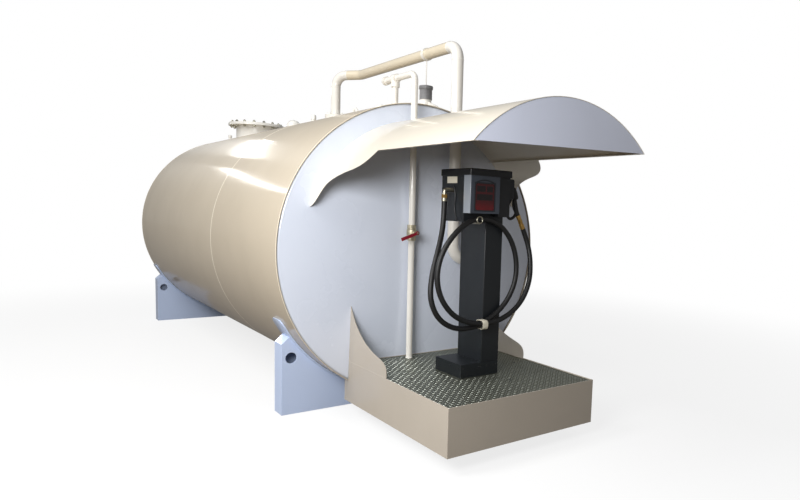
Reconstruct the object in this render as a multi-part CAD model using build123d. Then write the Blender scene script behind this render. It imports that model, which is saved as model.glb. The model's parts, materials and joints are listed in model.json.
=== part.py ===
from build123d import *
from math import asin, cos, pi, radians, sin, sqrt, tan
import os

# Double-wall horizontal storage tank with a dispensing step, canopy and pedestal dispenser.
# Millimetres. +X is to the right as seen by a person at the dispenser, +Y runs back along
# the tank, +Z is up, and the saddles stand on z = 0.

# Tank shell
shell_diameter = 2260
shell_length = 4925
shell_plate = 5
shell_clearance = 96
front_course_length = 1657
end_dish = 62
end_plate = 6
end_knuckle = 24
end_flange = 60
end_inset = 7
seat_gap = 0.3

# Inner tank
wall_space = 60
inner_plate = 6
spacer_width = 60
spacer_spread = 130

# Saddles
saddle_width = 2000
saddle_thickness = 145
saddle_plate = 8
saddle_edge_height = 532
saddle_chamfer_rise = 59
saddle_front_offset = 258
saddle_rear_offset = 4746
saddle_hole_diameter = 82
saddle_hole_inset = 70
saddle_hole_height = 425
wear_plate = 10
wear_plate_overhang = 30
wear_plate_corner = 55
wear_plate_rise = 124

# Manhole
manhole_from_rim = 4045
manhole_neck_diameter = 462
manhole_neck_plate = 8
manhole_flange_diameter = 640
manhole_flange_thickness = 16
manhole_height = 160
manhole_neck_depth = 120

# Small fittings on top of the shell
vent_from_rim = 2770
vent_diameter = 150
vent_height = 112
vent_groove = 10
vent_groove_depth = 8
dip_from_rim = 2203
dip_diameter = 52
dip_height = 122
socket_diameter = 70
socket_height = 66
socket_cap_height = 30
socket_cap_overhang = 4
socket_cap_chamfer = 6
socket_from_rim = 730
rear_socket_from_rim = 4640
rear_socket_x = -150
rear_socket_diameter = 46
lug_from_rim = 1230
lug_length = 168
lug_height = 96
lug_plate = 14
lug_head_width = 76
lug_head_radius = 60
lug_hole_drop = 40
lug_hole_diameter = 38

# Fill pipe
fill_pipe_diameter = 89
fill_pipe_wall = 4
fill_flange_diameter = 200
fill_flange_thickness = 24
fill_neck_height = 62
fill_riser_x = 60
fill_riser_from_rim = 1795
fill_run_x = 215
fill_run_rise = 466
fill_jog_end_from_rim = 1560
fill_bend_radius = 114
bend_straight = 1
fill_down_reach = 113
fill_elbow_height = 1165
fill_leg_end_x = 430
fill_cap_diameter = 118
fill_cap_length = 48
fill_cap_edge = 10

# Gauge under the fill run
gauge_from_rim = 350
gauge_socket_diameter = 92
gauge_head_diameter = 116
gauge_head_height = 112
gauge_cap_height = 26
gauge_cap_overhang = 6
gauge_base_rise = 99
gusset_reach = 190
gusset_foot = 50
gusset_plate = 8
gusset_gap_below_head = 20
rod_diameter = 9
clamp_width = 34
clamp_thickness = 6

# Suction pipe
suction_pipe_diameter = 48.3
suction_pipe_wall = 3.6
suction_x = -155
suction_stem_from_rim = 190
suction_run_rise = 192
suction_tail = 130
suction_cap_length = 34
suction_bend_radius = 57
suction_reach = 107
suction_fitting_diameter = 66
valve_height = 1373
valve_body_length = 118
valve_body_diameter = 74
valve_belly_length = 60
valve_bonnet_diameter = 30
valve_stem_reach = 86
valve_stem_diameter = 14
valve_stem_bare = 22
valve_stem_tip = 4
lever_length = 142
lever_width = 20
lever_thickness = 5
lever_droop = 20
lever_grip_length = 96
lever_grip_thickness = 9
lever_grip_overhang = 2
lever_hub_diameter = 30
lever_bore_gap = 0.05

# Canopy
canopy_reach = 1640
canopy_radius = 939
canopy_axis_rise = 59
canopy_edge_rise = 652
canopy_roll = 2
canopy_sheet_thickness = 3
canopy_lip = 34
canopy_wing_reach = 605
canopy_wing_drop = 367
canopy_wing_shares = [
    (1, 0), (0.926, 0.188), (0.635, 0.351), (0.374, 0.474), (0.243, 0.602), (0.187, 0.752), (0, 1)
]
pipe_hole_gap = 6

# Dispensing step
step_width = 1200
step_reach = 1340
step_top = 416
step_underside = 112
step_plate = 5
tread_recess = 5
tread_plate_thickness = 6
side_wing_reach = 580
side_wing_height = 412
side_wing_shares = [(0.052, 1), (0.186, 0.726), (0.491, 0.422), (0.805, 0.286), (0.969, 0.192), (1, 0)]
wing_plate = 5

# Pedestal and its base
base_left = -166
base_width = 316
base_front_reach = 827
base_depth = 322
base_height = 94
pedestal_left = 6
pedestal_width = 150
pedestal_front_reach = 823
pedestal_depth = 296
pedestal_sheet = 3
pedestal_corner = 6

# Dispenser cabinet
cabinet_left = -175
cabinet_width = 340
cabinet_front_reach = 812
cabinet_depth = 272
cabinet_bottom = 1481
cabinet_top = 1835
cover_height = 46
cover_overhang = 6
cover_corner = 10
cover_edge = 8
cabinet_corner = 8
bezel_reach = 890
bezel_width = 242
bezel_bottom = 1540
bezel_edge = 7
window_width = 156
window_height = 176
window_from_left = 41
window_from_bottom = 22
window_recess = 8
window_thickness = 5
window_corner = 16
brow_radius = 165
brow_width = 8
brow_depth = 4
brow_span = 150
brow_rise = 18
brow_gap = 9
holster_bottom = 1520
holster_setback = 12
holster_side_width = 52
holster_side_depth = 118
holster_side_drop = 48
holster_corner = 14

# Fuel nozzle, as it hangs: distances out from the holster, and above or below the spout
spout_rise = 172
spout_diameter = 26
spout_reach = 40
spout_gap = 2
nozzle_body_out = 44
nozzle_body_sink = 4
nozzle_body_diameter = 52
nozzle_body_length = 96
nozzle_body_tilt = 24
nozzle_body_corner = 9
nozzle_handle_diameter = 29
nozzle_handle_end = (50, -40)
nozzle_handle_straight = 30
nozzle_handle_bend = 20
guard_points = [(24, -40), (-9, -92), (-9, -160), (20, -186), (56, -165), (77, -131)]
guard_diameter = 22
trigger_points = [(40, -46), (41, -96), (68, -146)]
trigger_diameter = 9
nozzle_bend = 14

# Hose and what is on it
hose_diameter = 36
arc_share = 0.45
hose_collar_diameter = 44
hose_collar_length = 46
hose_fitting_length = 78
hose_elbow_diameter = 30
hose_elbow_bend = 22
hose_exit = (-246, -688, 1612)
hose_end = (356, -801, 1441)
swivel_diameter = 36
swivel_length = 108
ring_x = -110
ring_wire = 8
ring_diameter = 44
ring_reach = 918
ring_arm_diameter = 12
ring_arm_root = 60
clip_x = -31
clip_length = 44
clip_wall = 3
clip_height = 785
clip_from_rim = -869
clip_eye_depth = 78
clip_eye_height = 56
clip_corner = 17

shell_radius = shell_diameter / 2
axis_height = shell_clearance + shell_radius
shell_top = axis_height + shell_radius
inner_radius = shell_radius - shell_plate - wall_space
rear_bulge = end_dish - end_inset
total_length = canopy_reach + shell_length + rear_bulge
rim_y = canopy_reach - total_length / 2
fill_run_height = shell_top + fill_run_rise
gauge_base_height = shell_top + gauge_base_rise
suction_run_height = shell_top + suction_run_rise
canopy_axis_height = axis_height + canopy_axis_rise
canopy_edge_height = canopy_axis_height + canopy_edge_rise
canopy_half_width = sqrt(canopy_radius**2 - canopy_edge_rise**2)
saddle_meet_height = saddle_edge_height + saddle_chamfer_rise

os.makedirs("parts", exist_ok=True)


def save(name, *solids):
    """Write one node, of one solid or of several that do not touch."""
    shape = solids[0] if len(solids) == 1 else Compound(children=list(solids))
    export_step(shape, f"parts/{name}.step")


def block(x, y, z):
    """A box between pairs of limits, with y measured back from the front rim."""
    size = (x[1] - x[0], y[1] - y[0], z[1] - z[0])
    centre = (sum(x) / 2, rim_y + sum(y) / 2, sum(z) / 2)
    return Pos(*centre) * Box(*size)


def upright(x, y, z, diameter):
    """A vertical cylinder from z[0] to z[1], with y measured from the front rim."""
    height = z[1] - z[0]
    return Pos(x, rim_y + y, z[0] + height / 2) * Cylinder(diameter / 2, height)


def across(x, y, z, diameter):
    """A cylinder along X from x[0] to x[1]."""
    length = x[1] - x[0]
    return Pos(x[0] + length / 2, rim_y + y, z) * Rot(Y=90) * Cylinder(diameter / 2, length)


def along(x, y, z, diameter):
    """A cylinder along Y from y[0] to y[1]."""
    length = y[1] - y[0]
    return Pos(x, rim_y + y[0] + length / 2, z) * Rot(X=-90) * Cylinder(diameter / 2, length)


def shell_filled(radius):
    """The whole round body of the shell as a solid bar, longer than the tank."""
    return along(0, (-shell_length, 2 * shell_length), axis_height, 2 * radius)


def side_profile(points):
    """A face in the YZ plane from (y from rim, z) points and curves' corner points."""
    return Plane.YZ * make_face(Polyline(*[(rim_y + y, z) for y, z in points], close=True))


# Dished ends
def end_form(radius, dish, knuckle, depth):
    """A filled end that bulges towards its own -Z, its corner rounded by the knuckle."""
    crown = ThreePointArc(*crown_points(radius, dish))
    sides = Polyline((radius, 0), (radius, depth), (0, depth), (0, -dish))
    profile = make_face([crown, sides])
    corner = profile.vertices().sort_by(lambda v: abs(v.X - radius) + abs(v.Y))[0]
    profile = fillet(corner, knuckle)
    return revolve(Plane.XZ * profile, Axis.Z)


def crown_points(radius, dish):
    """Start, middle and end of the crown's arc from the centre to the corner."""
    crown_radius = (radius**2 + dish**2) / (2 * dish)
    half = asin(radius / crown_radius) / 2
    middle = (crown_radius * sin(half), crown_radius * (1 - cos(half)) - dish)
    return (0, -dish), middle, (radius, 0)


def dished_end(radius, plate):
    """One end plate, hollow behind its crown, facing its own -Z."""
    outer = end_form(radius, end_dish, end_knuckle, end_flange)
    hollow = end_form(radius - plate, end_dish, end_knuckle - plate, end_flange + plate)
    return outer - Pos(0, 0, plate) * hollow


def facing_front(end, y):
    return Pos(0, rim_y + y, axis_height) * Rot(X=-90) * end


def facing_rear(end, y):
    return Pos(0, rim_y + y, axis_height) * Rot(X=90) * end


front_end_filled = facing_front(
    end_form(shell_radius - shell_plate, end_dish, end_knuckle, end_flange), end_inset - seat_gap
)


def against_front_end(solid):
    """Trim a piece so that it lies against the front end plate."""
    return solid - front_end_filled


def on_shell(solid):
    """Trim a fitting's foot so that it sits on the curve of the outer shell."""
    return solid - shell_filled(shell_radius + seat_gap)


def shell_height_at(x):
    return axis_height + sqrt(shell_radius**2 - x**2)


# Outer shell, in two courses that meet at the girth seam
manhole_bore = upright(
    0, manhole_from_rim, (axis_height, 2 * shell_top), manhole_neck_diameter + 2 * seat_gap
)


def ring(radius, plate, y):
    outer = along(0, y, axis_height, 2 * radius)
    return outer - along(0, y, axis_height, 2 * (radius - plate))


save("outer_shell_front_course", ring(shell_radius, shell_plate, (0, front_course_length)))
rear_course = ring(shell_radius, shell_plate, (front_course_length, shell_length))
save("outer_shell_rear_course", rear_course - manhole_bore)

end_radius = shell_radius - shell_plate - seat_gap
outer_end = dished_end(end_radius, end_plate)
save("outer_end_front", facing_front(outer_end, end_inset))
save("outer_end_rear", facing_rear(outer_end, shell_length - end_inset))

# Inner tank, held off the outer shell by curved spacer bars
inner_start = end_inset + end_plate + wall_space
inner_end_y = shell_length - inner_start
inner_ring = ring(inner_radius, inner_plate, (inner_start, inner_end_y))
save("inner_shell", inner_ring - manhole_bore)
inner_end = dished_end(inner_radius - inner_plate - seat_gap, end_plate)
save(
    "inner_ends",
    facing_front(inner_end, inner_start + end_inset),
    facing_rear(inner_end, inner_end_y - end_inset),
)


def spacer(y):
    """A curved bar in the space between the walls, under the inner tank."""
    radius = shell_radius - shell_plate - seat_gap
    limits = (y - spacer_width / 2, y + spacer_width / 2)
    full = ring(radius, wall_space - 2 * seat_gap, limits)
    ends_at = axis_height - radius * cos(radians(spacer_spread / 2))
    return full & block((-radius, radius), limits, (0, ends_at))


saddle_middles = [
    saddle_front_offset + saddle_thickness / 2,
    saddle_rear_offset + saddle_thickness / 2,
]
spacer_places = [
    saddle_middles[0],
    sum(saddle_middles) / 2,
    saddle_middles[1] - end_flange - spacer_width,
]
save("wall_spacers", *[spacer(y) for y in spacer_places])


# Saddles: a rolled wear plate under the shell, then two webs closed round by a strip and a foot
wear_radius = shell_radius + seat_gap + wear_plate
web_radius = wear_radius + seat_gap


def wear_plate_at(offset_y):
    """A rolled plate, proud of both webs, with rounded corners at its two ends."""
    y = (offset_y - wear_plate_overhang, offset_y + saddle_thickness + wear_plate_overhang)
    slab = block((-shell_diameter, shell_diameter), y, (0, saddle_meet_height + wear_plate_rise))
    slab = fillet(slab.edges().filter_by(Axis.X).group_by(Axis.Z)[-1], wear_plate_corner)
    rolled_plate = along(0, y, axis_height, 2 * wear_radius) - shell_filled(shell_radius + seat_gap)
    return rolled_plate & slab


save("saddle_wear_plates", wear_plate_at(saddle_front_offset), wear_plate_at(saddle_rear_offset))


def saddle_outline():
    """Closed outline in XZ: foot, upright edges, then each chamfer up to the shell."""
    edge_x = saddle_width / 2
    meet_x = sqrt(shell_radius**2 - (axis_height - saddle_meet_height) ** 2)
    return [
        (-edge_x, 0),
        (edge_x, 0),
        (edge_x, saddle_edge_height),
        (meet_x, saddle_meet_height),
        (-meet_x, saddle_meet_height),
        (-edge_x, saddle_edge_height),
    ]


def saddle_block(offset_y, inset, thickness, start):
    """The saddle's outline, drawn in by the inset, as a slab that starts behind its front."""
    face = make_face(Polyline(*saddle_outline(), close=True))
    if inset:
        face = offset(face, -inset, kind=Kind.INTERSECTION)
    slab = extrude(Plane.XZ * face, -thickness)
    return Pos(0, rim_y + offset_y + start, 0) * slab


def saddle(offset_y):
    """The two webs, of which the front one is holed, and the strip and foot round them."""
    hole_x = saddle_width / 2 - saddle_hole_inset
    hole_y = (offset_y - saddle_plate, offset_y + 2 * saddle_plate)
    shell_space = shell_filled(web_radius)
    front_web = saddle_block(offset_y, 0, saddle_plate, 0) - shell_space
    for side in (-1, 1):
        front_web = front_web - along(side * hole_x, hole_y, saddle_hole_height, saddle_hole_diameter)
    back_web = saddle_block(offset_y, 0, saddle_plate, saddle_thickness - saddle_plate) - shell_space
    between = saddle_thickness - 2 * saddle_plate
    frame = saddle_block(offset_y, 0, between, saddle_plate)
    frame = frame - saddle_block(offset_y, saddle_plate, between, saddle_plate)
    return (front_web, back_web), frame - shell_space


for name, offset_y in (("front", saddle_front_offset), ("rear", saddle_rear_offset)):
    webs, frame = saddle(offset_y)
    save(f"saddle_{name}_webs", *webs)
    save(f"saddle_{name}_frame", frame)

# Manhole neck with its flange, and the bolted cover over it
neck_top = shell_top + manhole_height - manhole_flange_thickness
neck = upright(
    0, manhole_from_rim,
    (axis_height + inner_radius - manhole_neck_depth, neck_top), manhole_neck_diameter,
)
neck = neck + upright(
    0, manhole_from_rim, (neck_top - manhole_flange_thickness, neck_top), manhole_flange_diameter
)
neck = neck - upright(
    0, manhole_from_rim, (axis_height, 2 * shell_top), manhole_neck_diameter - 2 * manhole_neck_plate
)
save("manhole_neck", neck)
cover = upright(
    0, manhole_from_rim, (neck_top, neck_top + manhole_flange_thickness), manhole_flange_diameter
)
save("manhole_cover", cover)


# Emergency vent: a short neck under a domed cap
def vent():
    cap_radius = vent_diameter / 2
    dome_start = shell_top + vent_height - cap_radius
    body = upright(0, vent_from_rim, (shell_top - cap_radius, dome_start), vent_diameter)
    body = body + Pos(0, rim_y + vent_from_rim, dome_start) * Sphere(cap_radius)
    groove_z = (dome_start - vent_groove, dome_start)
    groove = upright(0, vent_from_rim, groove_z, vent_diameter + 2 * vent_groove)
    groove = groove - upright(0, vent_from_rim, groove_z, vent_diameter - 2 * vent_groove_depth)
    return on_shell(body - groove)


save("emergency_vent", vent())


def capped_socket(x, y, diameter):
    """A short threaded socket with a wider cap, chamfered round its top edge."""
    foot = shell_height_at(x)
    cap_z = (foot + socket_height - socket_cap_height, foot + socket_height)
    cap = upright(x, y, cap_z, diameter)
    cap = chamfer(cap.edges().group_by(Axis.Z)[-1], socket_cap_chamfer)
    stem = upright(x, y, (foot - diameter, cap_z[0]), diameter - 2 * socket_cap_overhang)
    return on_shell(cap + stem)


def dip_point():
    """A plain tube end with a rounded cap, over the deepest part of the tank."""
    dome_start = shell_top + dip_height - dip_diameter / 2
    tube = upright(0, dip_from_rim, (shell_top - dip_diameter, dome_start), dip_diameter)
    return on_shell(tube + Pos(0, rim_y + dip_from_rim, dome_start) * Sphere(dip_diameter / 2))


save(
    "capped_sockets",
    dip_point(),
    capped_socket(0, socket_from_rim, socket_diameter),
    capped_socket(rear_socket_x, rear_socket_from_rim, rear_socket_diameter),
)

# Lifting lug: a plate along the tank with a rounded head and a hole across it
lug_eye_height = shell_top + lug_height - lug_hole_drop
lug_foot = shell_top - lug_plate
lug_shoulder = shell_top + lug_plate
lug_head = shell_top + lug_height
lug_outline = [
    (lug_from_rim - lug_length / 2, lug_foot),
    (lug_from_rim + lug_length / 2, lug_foot),
    (lug_from_rim + lug_length / 2, lug_shoulder),
    (lug_from_rim + lug_head_width / 2, lug_head),
    (lug_from_rim - lug_head_width / 2, lug_head),
    (lug_from_rim - lug_length / 2, lug_shoulder),
]
lug = extrude(side_profile(lug_outline), lug_plate)
lug = fillet(lug.edges().filter_by(Axis.X).group_by(Axis.Z)[-1], lug_head_radius)
lug = Pos(-lug_plate / 2, 0, 0) * lug
lug = lug - across((-lug_plate, lug_plate), lug_from_rim, lug_eye_height, lug_hole_diameter)
save("lifting_lug", on_shell(lug))


# Pipework
def bar(points, diameter, bend):
    """A round bar through points, with each corner rounded to the bend radius."""
    path = FilletPolyline(*points, radius=bend) if len(points) > 2 else Line(*points)
    start = Plane(origin=path @ 0, z_dir=path % 0)
    return sweep(start * Circle(diameter / 2), path=path)


def pipe(points, diameter, wall, bend):
    """A hollow pipe through points given as x, y from the rim, and z."""
    placed = [(x, rim_y + y, z) for x, y, z in points]
    return bar(placed, diameter, bend) - bar(placed, diameter - 2 * wall, bend)


flange_seat = shell_height_at(fill_riser_x) + fill_neck_height
fill_bore = fill_pipe_diameter - 2 * fill_pipe_wall


def fill_flange(start):
    """One flange of the bolted pair, on the riser's own line."""
    limits = (start, start + fill_flange_thickness)
    return upright(fill_riser_x, fill_riser_from_rim, limits, fill_flange_diameter)


nozzle_neck = upright(
    fill_riser_x, fill_riser_from_rim, (shell_top - fill_pipe_diameter, flange_seat), fill_pipe_diameter
)
nozzle_neck = nozzle_neck + fill_flange(flange_seat - fill_flange_thickness)
nozzle_neck = nozzle_neck - upright(
    fill_riser_x, fill_riser_from_rim, (axis_height, flange_seat), fill_bore
)
save("fill_nozzle", on_shell(nozzle_neck))

jog_middle = (
    (fill_riser_x + fill_run_x) / 2,
    (fill_riser_from_rim + fill_jog_end_from_rim) / 2,
    fill_run_height,
)
run_end = (fill_run_x, -fill_down_reach + fill_bend_radius + bend_straight, fill_run_height)
run_corner = (fill_run_x, -fill_down_reach, fill_run_height)
drop_end = (fill_run_x, -fill_down_reach, fill_elbow_height + fill_bend_radius + bend_straight)
drop_corner = (fill_run_x, -fill_down_reach, fill_elbow_height)


def fill_pipe(*points):
    return pipe(points, fill_pipe_diameter, fill_pipe_wall, fill_bend_radius)


riser = fill_pipe(
    (fill_riser_x, fill_riser_from_rim, flange_seat),
    (fill_riser_x, fill_riser_from_rim, fill_run_height),
    jog_middle,
)
upper_flange = fill_flange(flange_seat) - upright(
    fill_riser_x, fill_riser_from_rim, (flange_seat, flange_seat + fill_flange_thickness), fill_bore
)
save("fill_riser", riser + upper_flange)
save("fill_run", fill_pipe(jog_middle, (fill_run_x, fill_jog_end_from_rim, fill_run_height), run_end))
save("fill_downcomer", fill_pipe(run_end, run_corner, drop_end))
save("fill_point", fill_pipe(drop_end, drop_corner, (fill_leg_end_x, -fill_down_reach, fill_elbow_height)))
cap_x = (fill_leg_end_x, fill_leg_end_x + fill_cap_length)
cap = across(cap_x, -fill_down_reach, fill_elbow_height, fill_cap_diameter)
save("fill_cap", fillet(cap.edges().group_by(Axis.X)[-1], fill_cap_edge))

# Gauge head on its socket, with the rod up to the clamp on the fill run
gauge_socket = upright(
    fill_run_x, gauge_from_rim,
    (shell_height_at(fill_run_x) - gauge_socket_diameter, gauge_base_height), gauge_socket_diameter,
)
gusset_back = gauge_from_rim - gauge_socket_diameter / 4
gusset_front = gauge_from_rim - gusset_reach
gusset_top = gauge_base_height - gusset_gap_below_head
gusset_outline = [
    (gauge_from_rim - gauge_socket_diameter / 2, gusset_top),
    (gusset_back, gusset_top),
    (gusset_back, axis_height),
    (gusset_front, axis_height),
    (gusset_front, shell_height_at(fill_run_x) + gusset_foot),
]
gusset = Pos(fill_run_x - gusset_plate / 2, 0, 0) * extrude(side_profile(gusset_outline), gusset_plate)
save("gauge_socket", on_shell(gauge_socket + gusset))
head_top = gauge_base_height + gauge_head_height
head_shoulder = head_top - gauge_cap_height
head = upright(
    fill_run_x, gauge_from_rim,
    (gauge_base_height, head_shoulder), gauge_head_diameter - 2 * gauge_cap_overhang,
)
head = head + upright(fill_run_x, gauge_from_rim, (head_shoulder, head_top), gauge_head_diameter)
save("gauge_head", head)
clamp_radius = fill_pipe_diameter / 2 + seat_gap
clamp_y = (gauge_from_rim - clamp_width / 2, gauge_from_rim + clamp_width / 2)
clamp = along(fill_run_x, clamp_y, fill_run_height, 2 * (clamp_radius + clamp_thickness))
clamp = clamp - along(fill_run_x, clamp_y, fill_run_height, 2 * clamp_radius)
rod_z = (head_top, fill_run_height - clamp_radius - clamp_thickness / 2)
rod = upright(fill_run_x, gauge_from_rim, rod_z, rod_diameter)
save("clamp_and_rod", clamp + rod)

# Suction pipe from the tank's top, over the rim and down the end plate
stem = upright(
    suction_x, suction_stem_from_rim,
    (shell_height_at(suction_x) - suction_pipe_diameter, suction_run_height), suction_pipe_diameter,
)
tee_front = suction_stem_from_rim - suction_fitting_diameter / 2
tee_back = suction_stem_from_rim + suction_fitting_diameter / 2
tail_end = suction_stem_from_rim + suction_tail
tee_body = along(suction_x, (tee_front, tee_back), suction_run_height, suction_fitting_diameter)
tee_foot_z = (suction_run_height - suction_fitting_diameter, suction_run_height)
tee_foot = upright(suction_x, suction_stem_from_rim, tee_foot_z, suction_fitting_diameter)
tail = along(suction_x, (suction_stem_from_rim, tail_end), suction_run_height, suction_pipe_diameter)
tail_cap = along(
    suction_x, (tail_end, tail_end + suction_cap_length), suction_run_height, suction_fitting_diameter
)
save("suction_stem", on_shell(stem + tee_body + tee_foot + tail + tail_cap))


def suction_pipe(*points):
    return pipe(points, suction_pipe_diameter, suction_pipe_wall, suction_bend_radius)


valve_top = valve_height + valve_body_length / 2
valve_foot = valve_height - valve_body_length / 2
downcomer = suction_pipe(
    (suction_x, tee_front, suction_run_height),
    (suction_x, -suction_reach, suction_run_height),
    (suction_x, -suction_reach, valve_top),
)
save("suction_downcomer", downcomer)
foot_pipe = suction_pipe(
    (suction_x, -suction_reach, valve_foot), (suction_x, -suction_reach, step_top - tread_recess)
)
save("suction_foot", foot_pipe)
stem_tip_y = -suction_reach - valve_stem_reach
belly_z = (valve_height - valve_belly_length / 2, valve_height + valve_belly_length / 2)
valve = upright(suction_x, -suction_reach, (valve_foot, valve_top), suction_fitting_diameter)
valve = valve + upright(suction_x, -suction_reach, belly_z, valve_body_diameter)
bonnet_y = (stem_tip_y + valve_stem_bare, -suction_reach)
bonnet = along(suction_x, bonnet_y, valve_height, valve_bonnet_diameter)
pin_y = (stem_tip_y - lever_thickness - valve_stem_tip, -suction_reach)
pin = along(suction_x, pin_y, valve_height, valve_stem_diameter)
save("valve_body", valve + bonnet + pin)

# Valve lever, turned down a little from level as it stands
hub = along(0, (-lever_thickness, 0), 0, lever_hub_diameter)
arm = block((-lever_length, 0), (-lever_thickness, 0), (-lever_width / 2, lever_width / 2))
grip_proud = (lever_grip_thickness - lever_thickness) / 2
grip_half = lever_width / 2 + lever_grip_overhang
grip = block(
    (-lever_length, -lever_length + lever_grip_length),
    (-lever_thickness - grip_proud, grip_proud),
    (-grip_half, grip_half),
)
lever_bore = valve_stem_diameter + 2 * lever_bore_gap
lever = hub + arm + grip - along(0, (-lever_length, lever_length), 0, lever_bore)
lever = Rot(Y=-lever_droop) * Pos(0, -rim_y, 0) * lever
save("valve_lever", Pos(suction_x, rim_y + stem_tip_y, valve_height) * lever)


# Canopy: one rolled sheet, a flat fascia, and swept wings that carry it on the end plate
def canopy_arc(y, outer, plate):
    """A tube about the canopy's own axis, between two distances from the rim."""
    tube = along(0, y, canopy_axis_height, 2 * outer)
    return tube - along(0, y, canopy_axis_height, 2 * (outer - plate))


def above(z):
    return block((-shell_radius, shell_radius), (-2 * canopy_reach, shell_length), (z, 2 * shell_top))


def below(z):
    return block((-shell_radius, shell_radius), (-2 * canopy_reach, shell_length), (-shell_top, z))


def turned(solid):
    """Turn a canopy piece about the canopy's own axis, left side down, as it was welded on."""
    axis = Pos(0, 0, canopy_axis_height)
    return axis * Rot(Y=-canopy_roll) * axis.inverse() * solid


def canopy_lip_strip(side):
    """The narrow strip folded inward along one long edge of the sheet."""
    x = sorted((side * canopy_half_width, side * (canopy_half_width - canopy_lip)))
    z = (canopy_edge_height, canopy_edge_height + canopy_sheet_thickness)
    strip = block(x, (-canopy_reach, -canopy_sheet_thickness), z)
    return strip & along(0, (-canopy_reach, end_flange), canopy_axis_height, 2 * canopy_radius)


def pipe_hole(x, reach, diameter):
    return upright(x, -reach, (0, 2 * shell_top), diameter + 2 * pipe_hole_gap)


sheet = canopy_arc((-canopy_reach, end_flange), canopy_radius, canopy_sheet_thickness)
sheet = sheet & above(canopy_edge_height)
sheet = turned(sheet + canopy_lip_strip(-1) + canopy_lip_strip(1))
sheet = sheet - pipe_hole(fill_run_x, fill_down_reach, fill_pipe_diameter)
sheet = sheet - pipe_hole(suction_x, suction_reach, suction_pipe_diameter)
save("canopy_sheet", against_front_end(sheet))

fascia_y = (-canopy_reach + canopy_sheet_thickness, -canopy_reach + 2 * canopy_sheet_thickness)
fascia_radius = canopy_radius - canopy_sheet_thickness - seat_gap
fascia = along(0, fascia_y, canopy_axis_height, 2 * fascia_radius)
fascia = fascia & above(canopy_edge_height + canopy_sheet_thickness + seat_gap)
save("canopy_fascia", turned(fascia))


def wing_face(edge_points):
    """A gusset's face in YZ, between its swept edge and the corner behind it."""
    (first_y, first_z), (last_y, last_z) = edge_points[0], edge_points[-1]
    edge = Spline(*[(rim_y + y, z) for y, z in edge_points])
    back = Polyline(
        (rim_y + last_y, last_z), (rim_y + end_flange, last_z),
        (rim_y + end_flange, first_z), (rim_y + first_y, first_z),
    )
    return Plane.YZ * make_face([edge, back])


canopy_wing_edge = [
    (-canopy_wing_reach * out, canopy_edge_height - canopy_wing_drop * down)
    for out, down in canopy_wing_shares
]
wing_slab = extrude(wing_face(canopy_wing_edge), shell_radius, both=True)
wing_tube = canopy_arc((-canopy_reach, end_flange), canopy_radius, canopy_sheet_thickness)
wing_pair = turned(wing_tube & below(canopy_edge_height) & wing_slab)
save("canopy_wings", *against_front_end(wing_pair).solids())

# Dispensing step: skirts round a recessed tread plate
half = step_width / 2
side_y = (-step_reach + step_plate, end_flange)
left_skirt = block((-half, -half + step_plate), side_y, (step_underside, step_top))
right_skirt = block((half - step_plate, half), side_y, (step_underside, step_top))
end_clear = shell_filled(shell_radius + seat_gap) & block(
    (-shell_radius, shell_radius), (0, shell_length), (0, shell_top)
)
save("step_skirt_left", against_front_end(left_skirt) - end_clear)
save("step_skirt_right", against_front_end(right_skirt) - end_clear)
save(
    "step_skirt_front",
    block((-half, half), (-step_reach, -step_reach + step_plate), (step_underside, step_top)),
)
tread_top = step_top - tread_recess
tread = block(
    (-half + step_plate, half - step_plate),
    (-step_reach + step_plate, end_flange),
    (tread_top - tread_plate_thickness, tread_top),
)
save("tread_plate", against_front_end(tread) - end_clear)

# Side wings between the step and the end plate
side_wing_edge = [
    (-side_wing_reach * out, step_top + side_wing_height * up) for out, up in side_wing_shares
]
side_wing = extrude(wing_face(side_wing_edge), wing_plate)
save(
    "side_wings",
    against_front_end(Pos(-half, 0, 0) * side_wing),
    against_front_end(Pos(half - wing_plate, 0, 0) * side_wing),
)

# Pedestal on its base box
base_y = (-base_front_reach, -base_front_reach + base_depth)
base_x = (base_left, base_left + base_width)
base = block(base_x, base_y, (tread_top, tread_top + base_height))
base = base - block(
    (base_x[0] + pedestal_sheet, base_x[1] - pedestal_sheet),
    (base_y[0] + pedestal_sheet, base_y[1] - pedestal_sheet),
    (tread_top, tread_top + base_height - pedestal_sheet),
)
save("dispenser_base", base)
pedestal_x = (pedestal_left, pedestal_left + pedestal_width)
pedestal_y = (-pedestal_front_reach, -pedestal_front_reach + pedestal_depth)
column_z = (tread_top + base_height, cabinet_bottom)
column = block(pedestal_x, pedestal_y, column_z)
column = fillet(column.edges().filter_by(Axis.Z), pedestal_corner)
column = column - block(
    (pedestal_x[0] + pedestal_sheet, pedestal_x[1] - pedestal_sheet),
    (pedestal_y[0] + pedestal_sheet, pedestal_y[1] - pedestal_sheet),
    column_z,
)
save("pedestal", column)

# Dispenser cabinet, its cover, bezel and window
cabinet_x = (cabinet_left, cabinet_left + cabinet_width)
cabinet_y = (-cabinet_front_reach, -cabinet_front_reach + cabinet_depth)
cover_bottom = cabinet_top - cover_height
cabinet = block(cabinet_x, cabinet_y, (cabinet_bottom, cover_bottom))
save("cabinet_body", fillet(cabinet.edges().filter_by(Axis.Z), cabinet_corner))
cover = block(
    (cabinet_x[0] - cover_overhang, cabinet_x[1] + cover_overhang),
    (-bezel_reach - cover_overhang, cabinet_y[1] + cover_overhang),
    (cover_bottom, cabinet_top),
)
cover = fillet(cover.edges().filter_by(Axis.Z), cover_corner)
save("cabinet_cover", fillet(cover.edges().group_by(Axis.Z)[-1], cover_edge))

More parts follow.
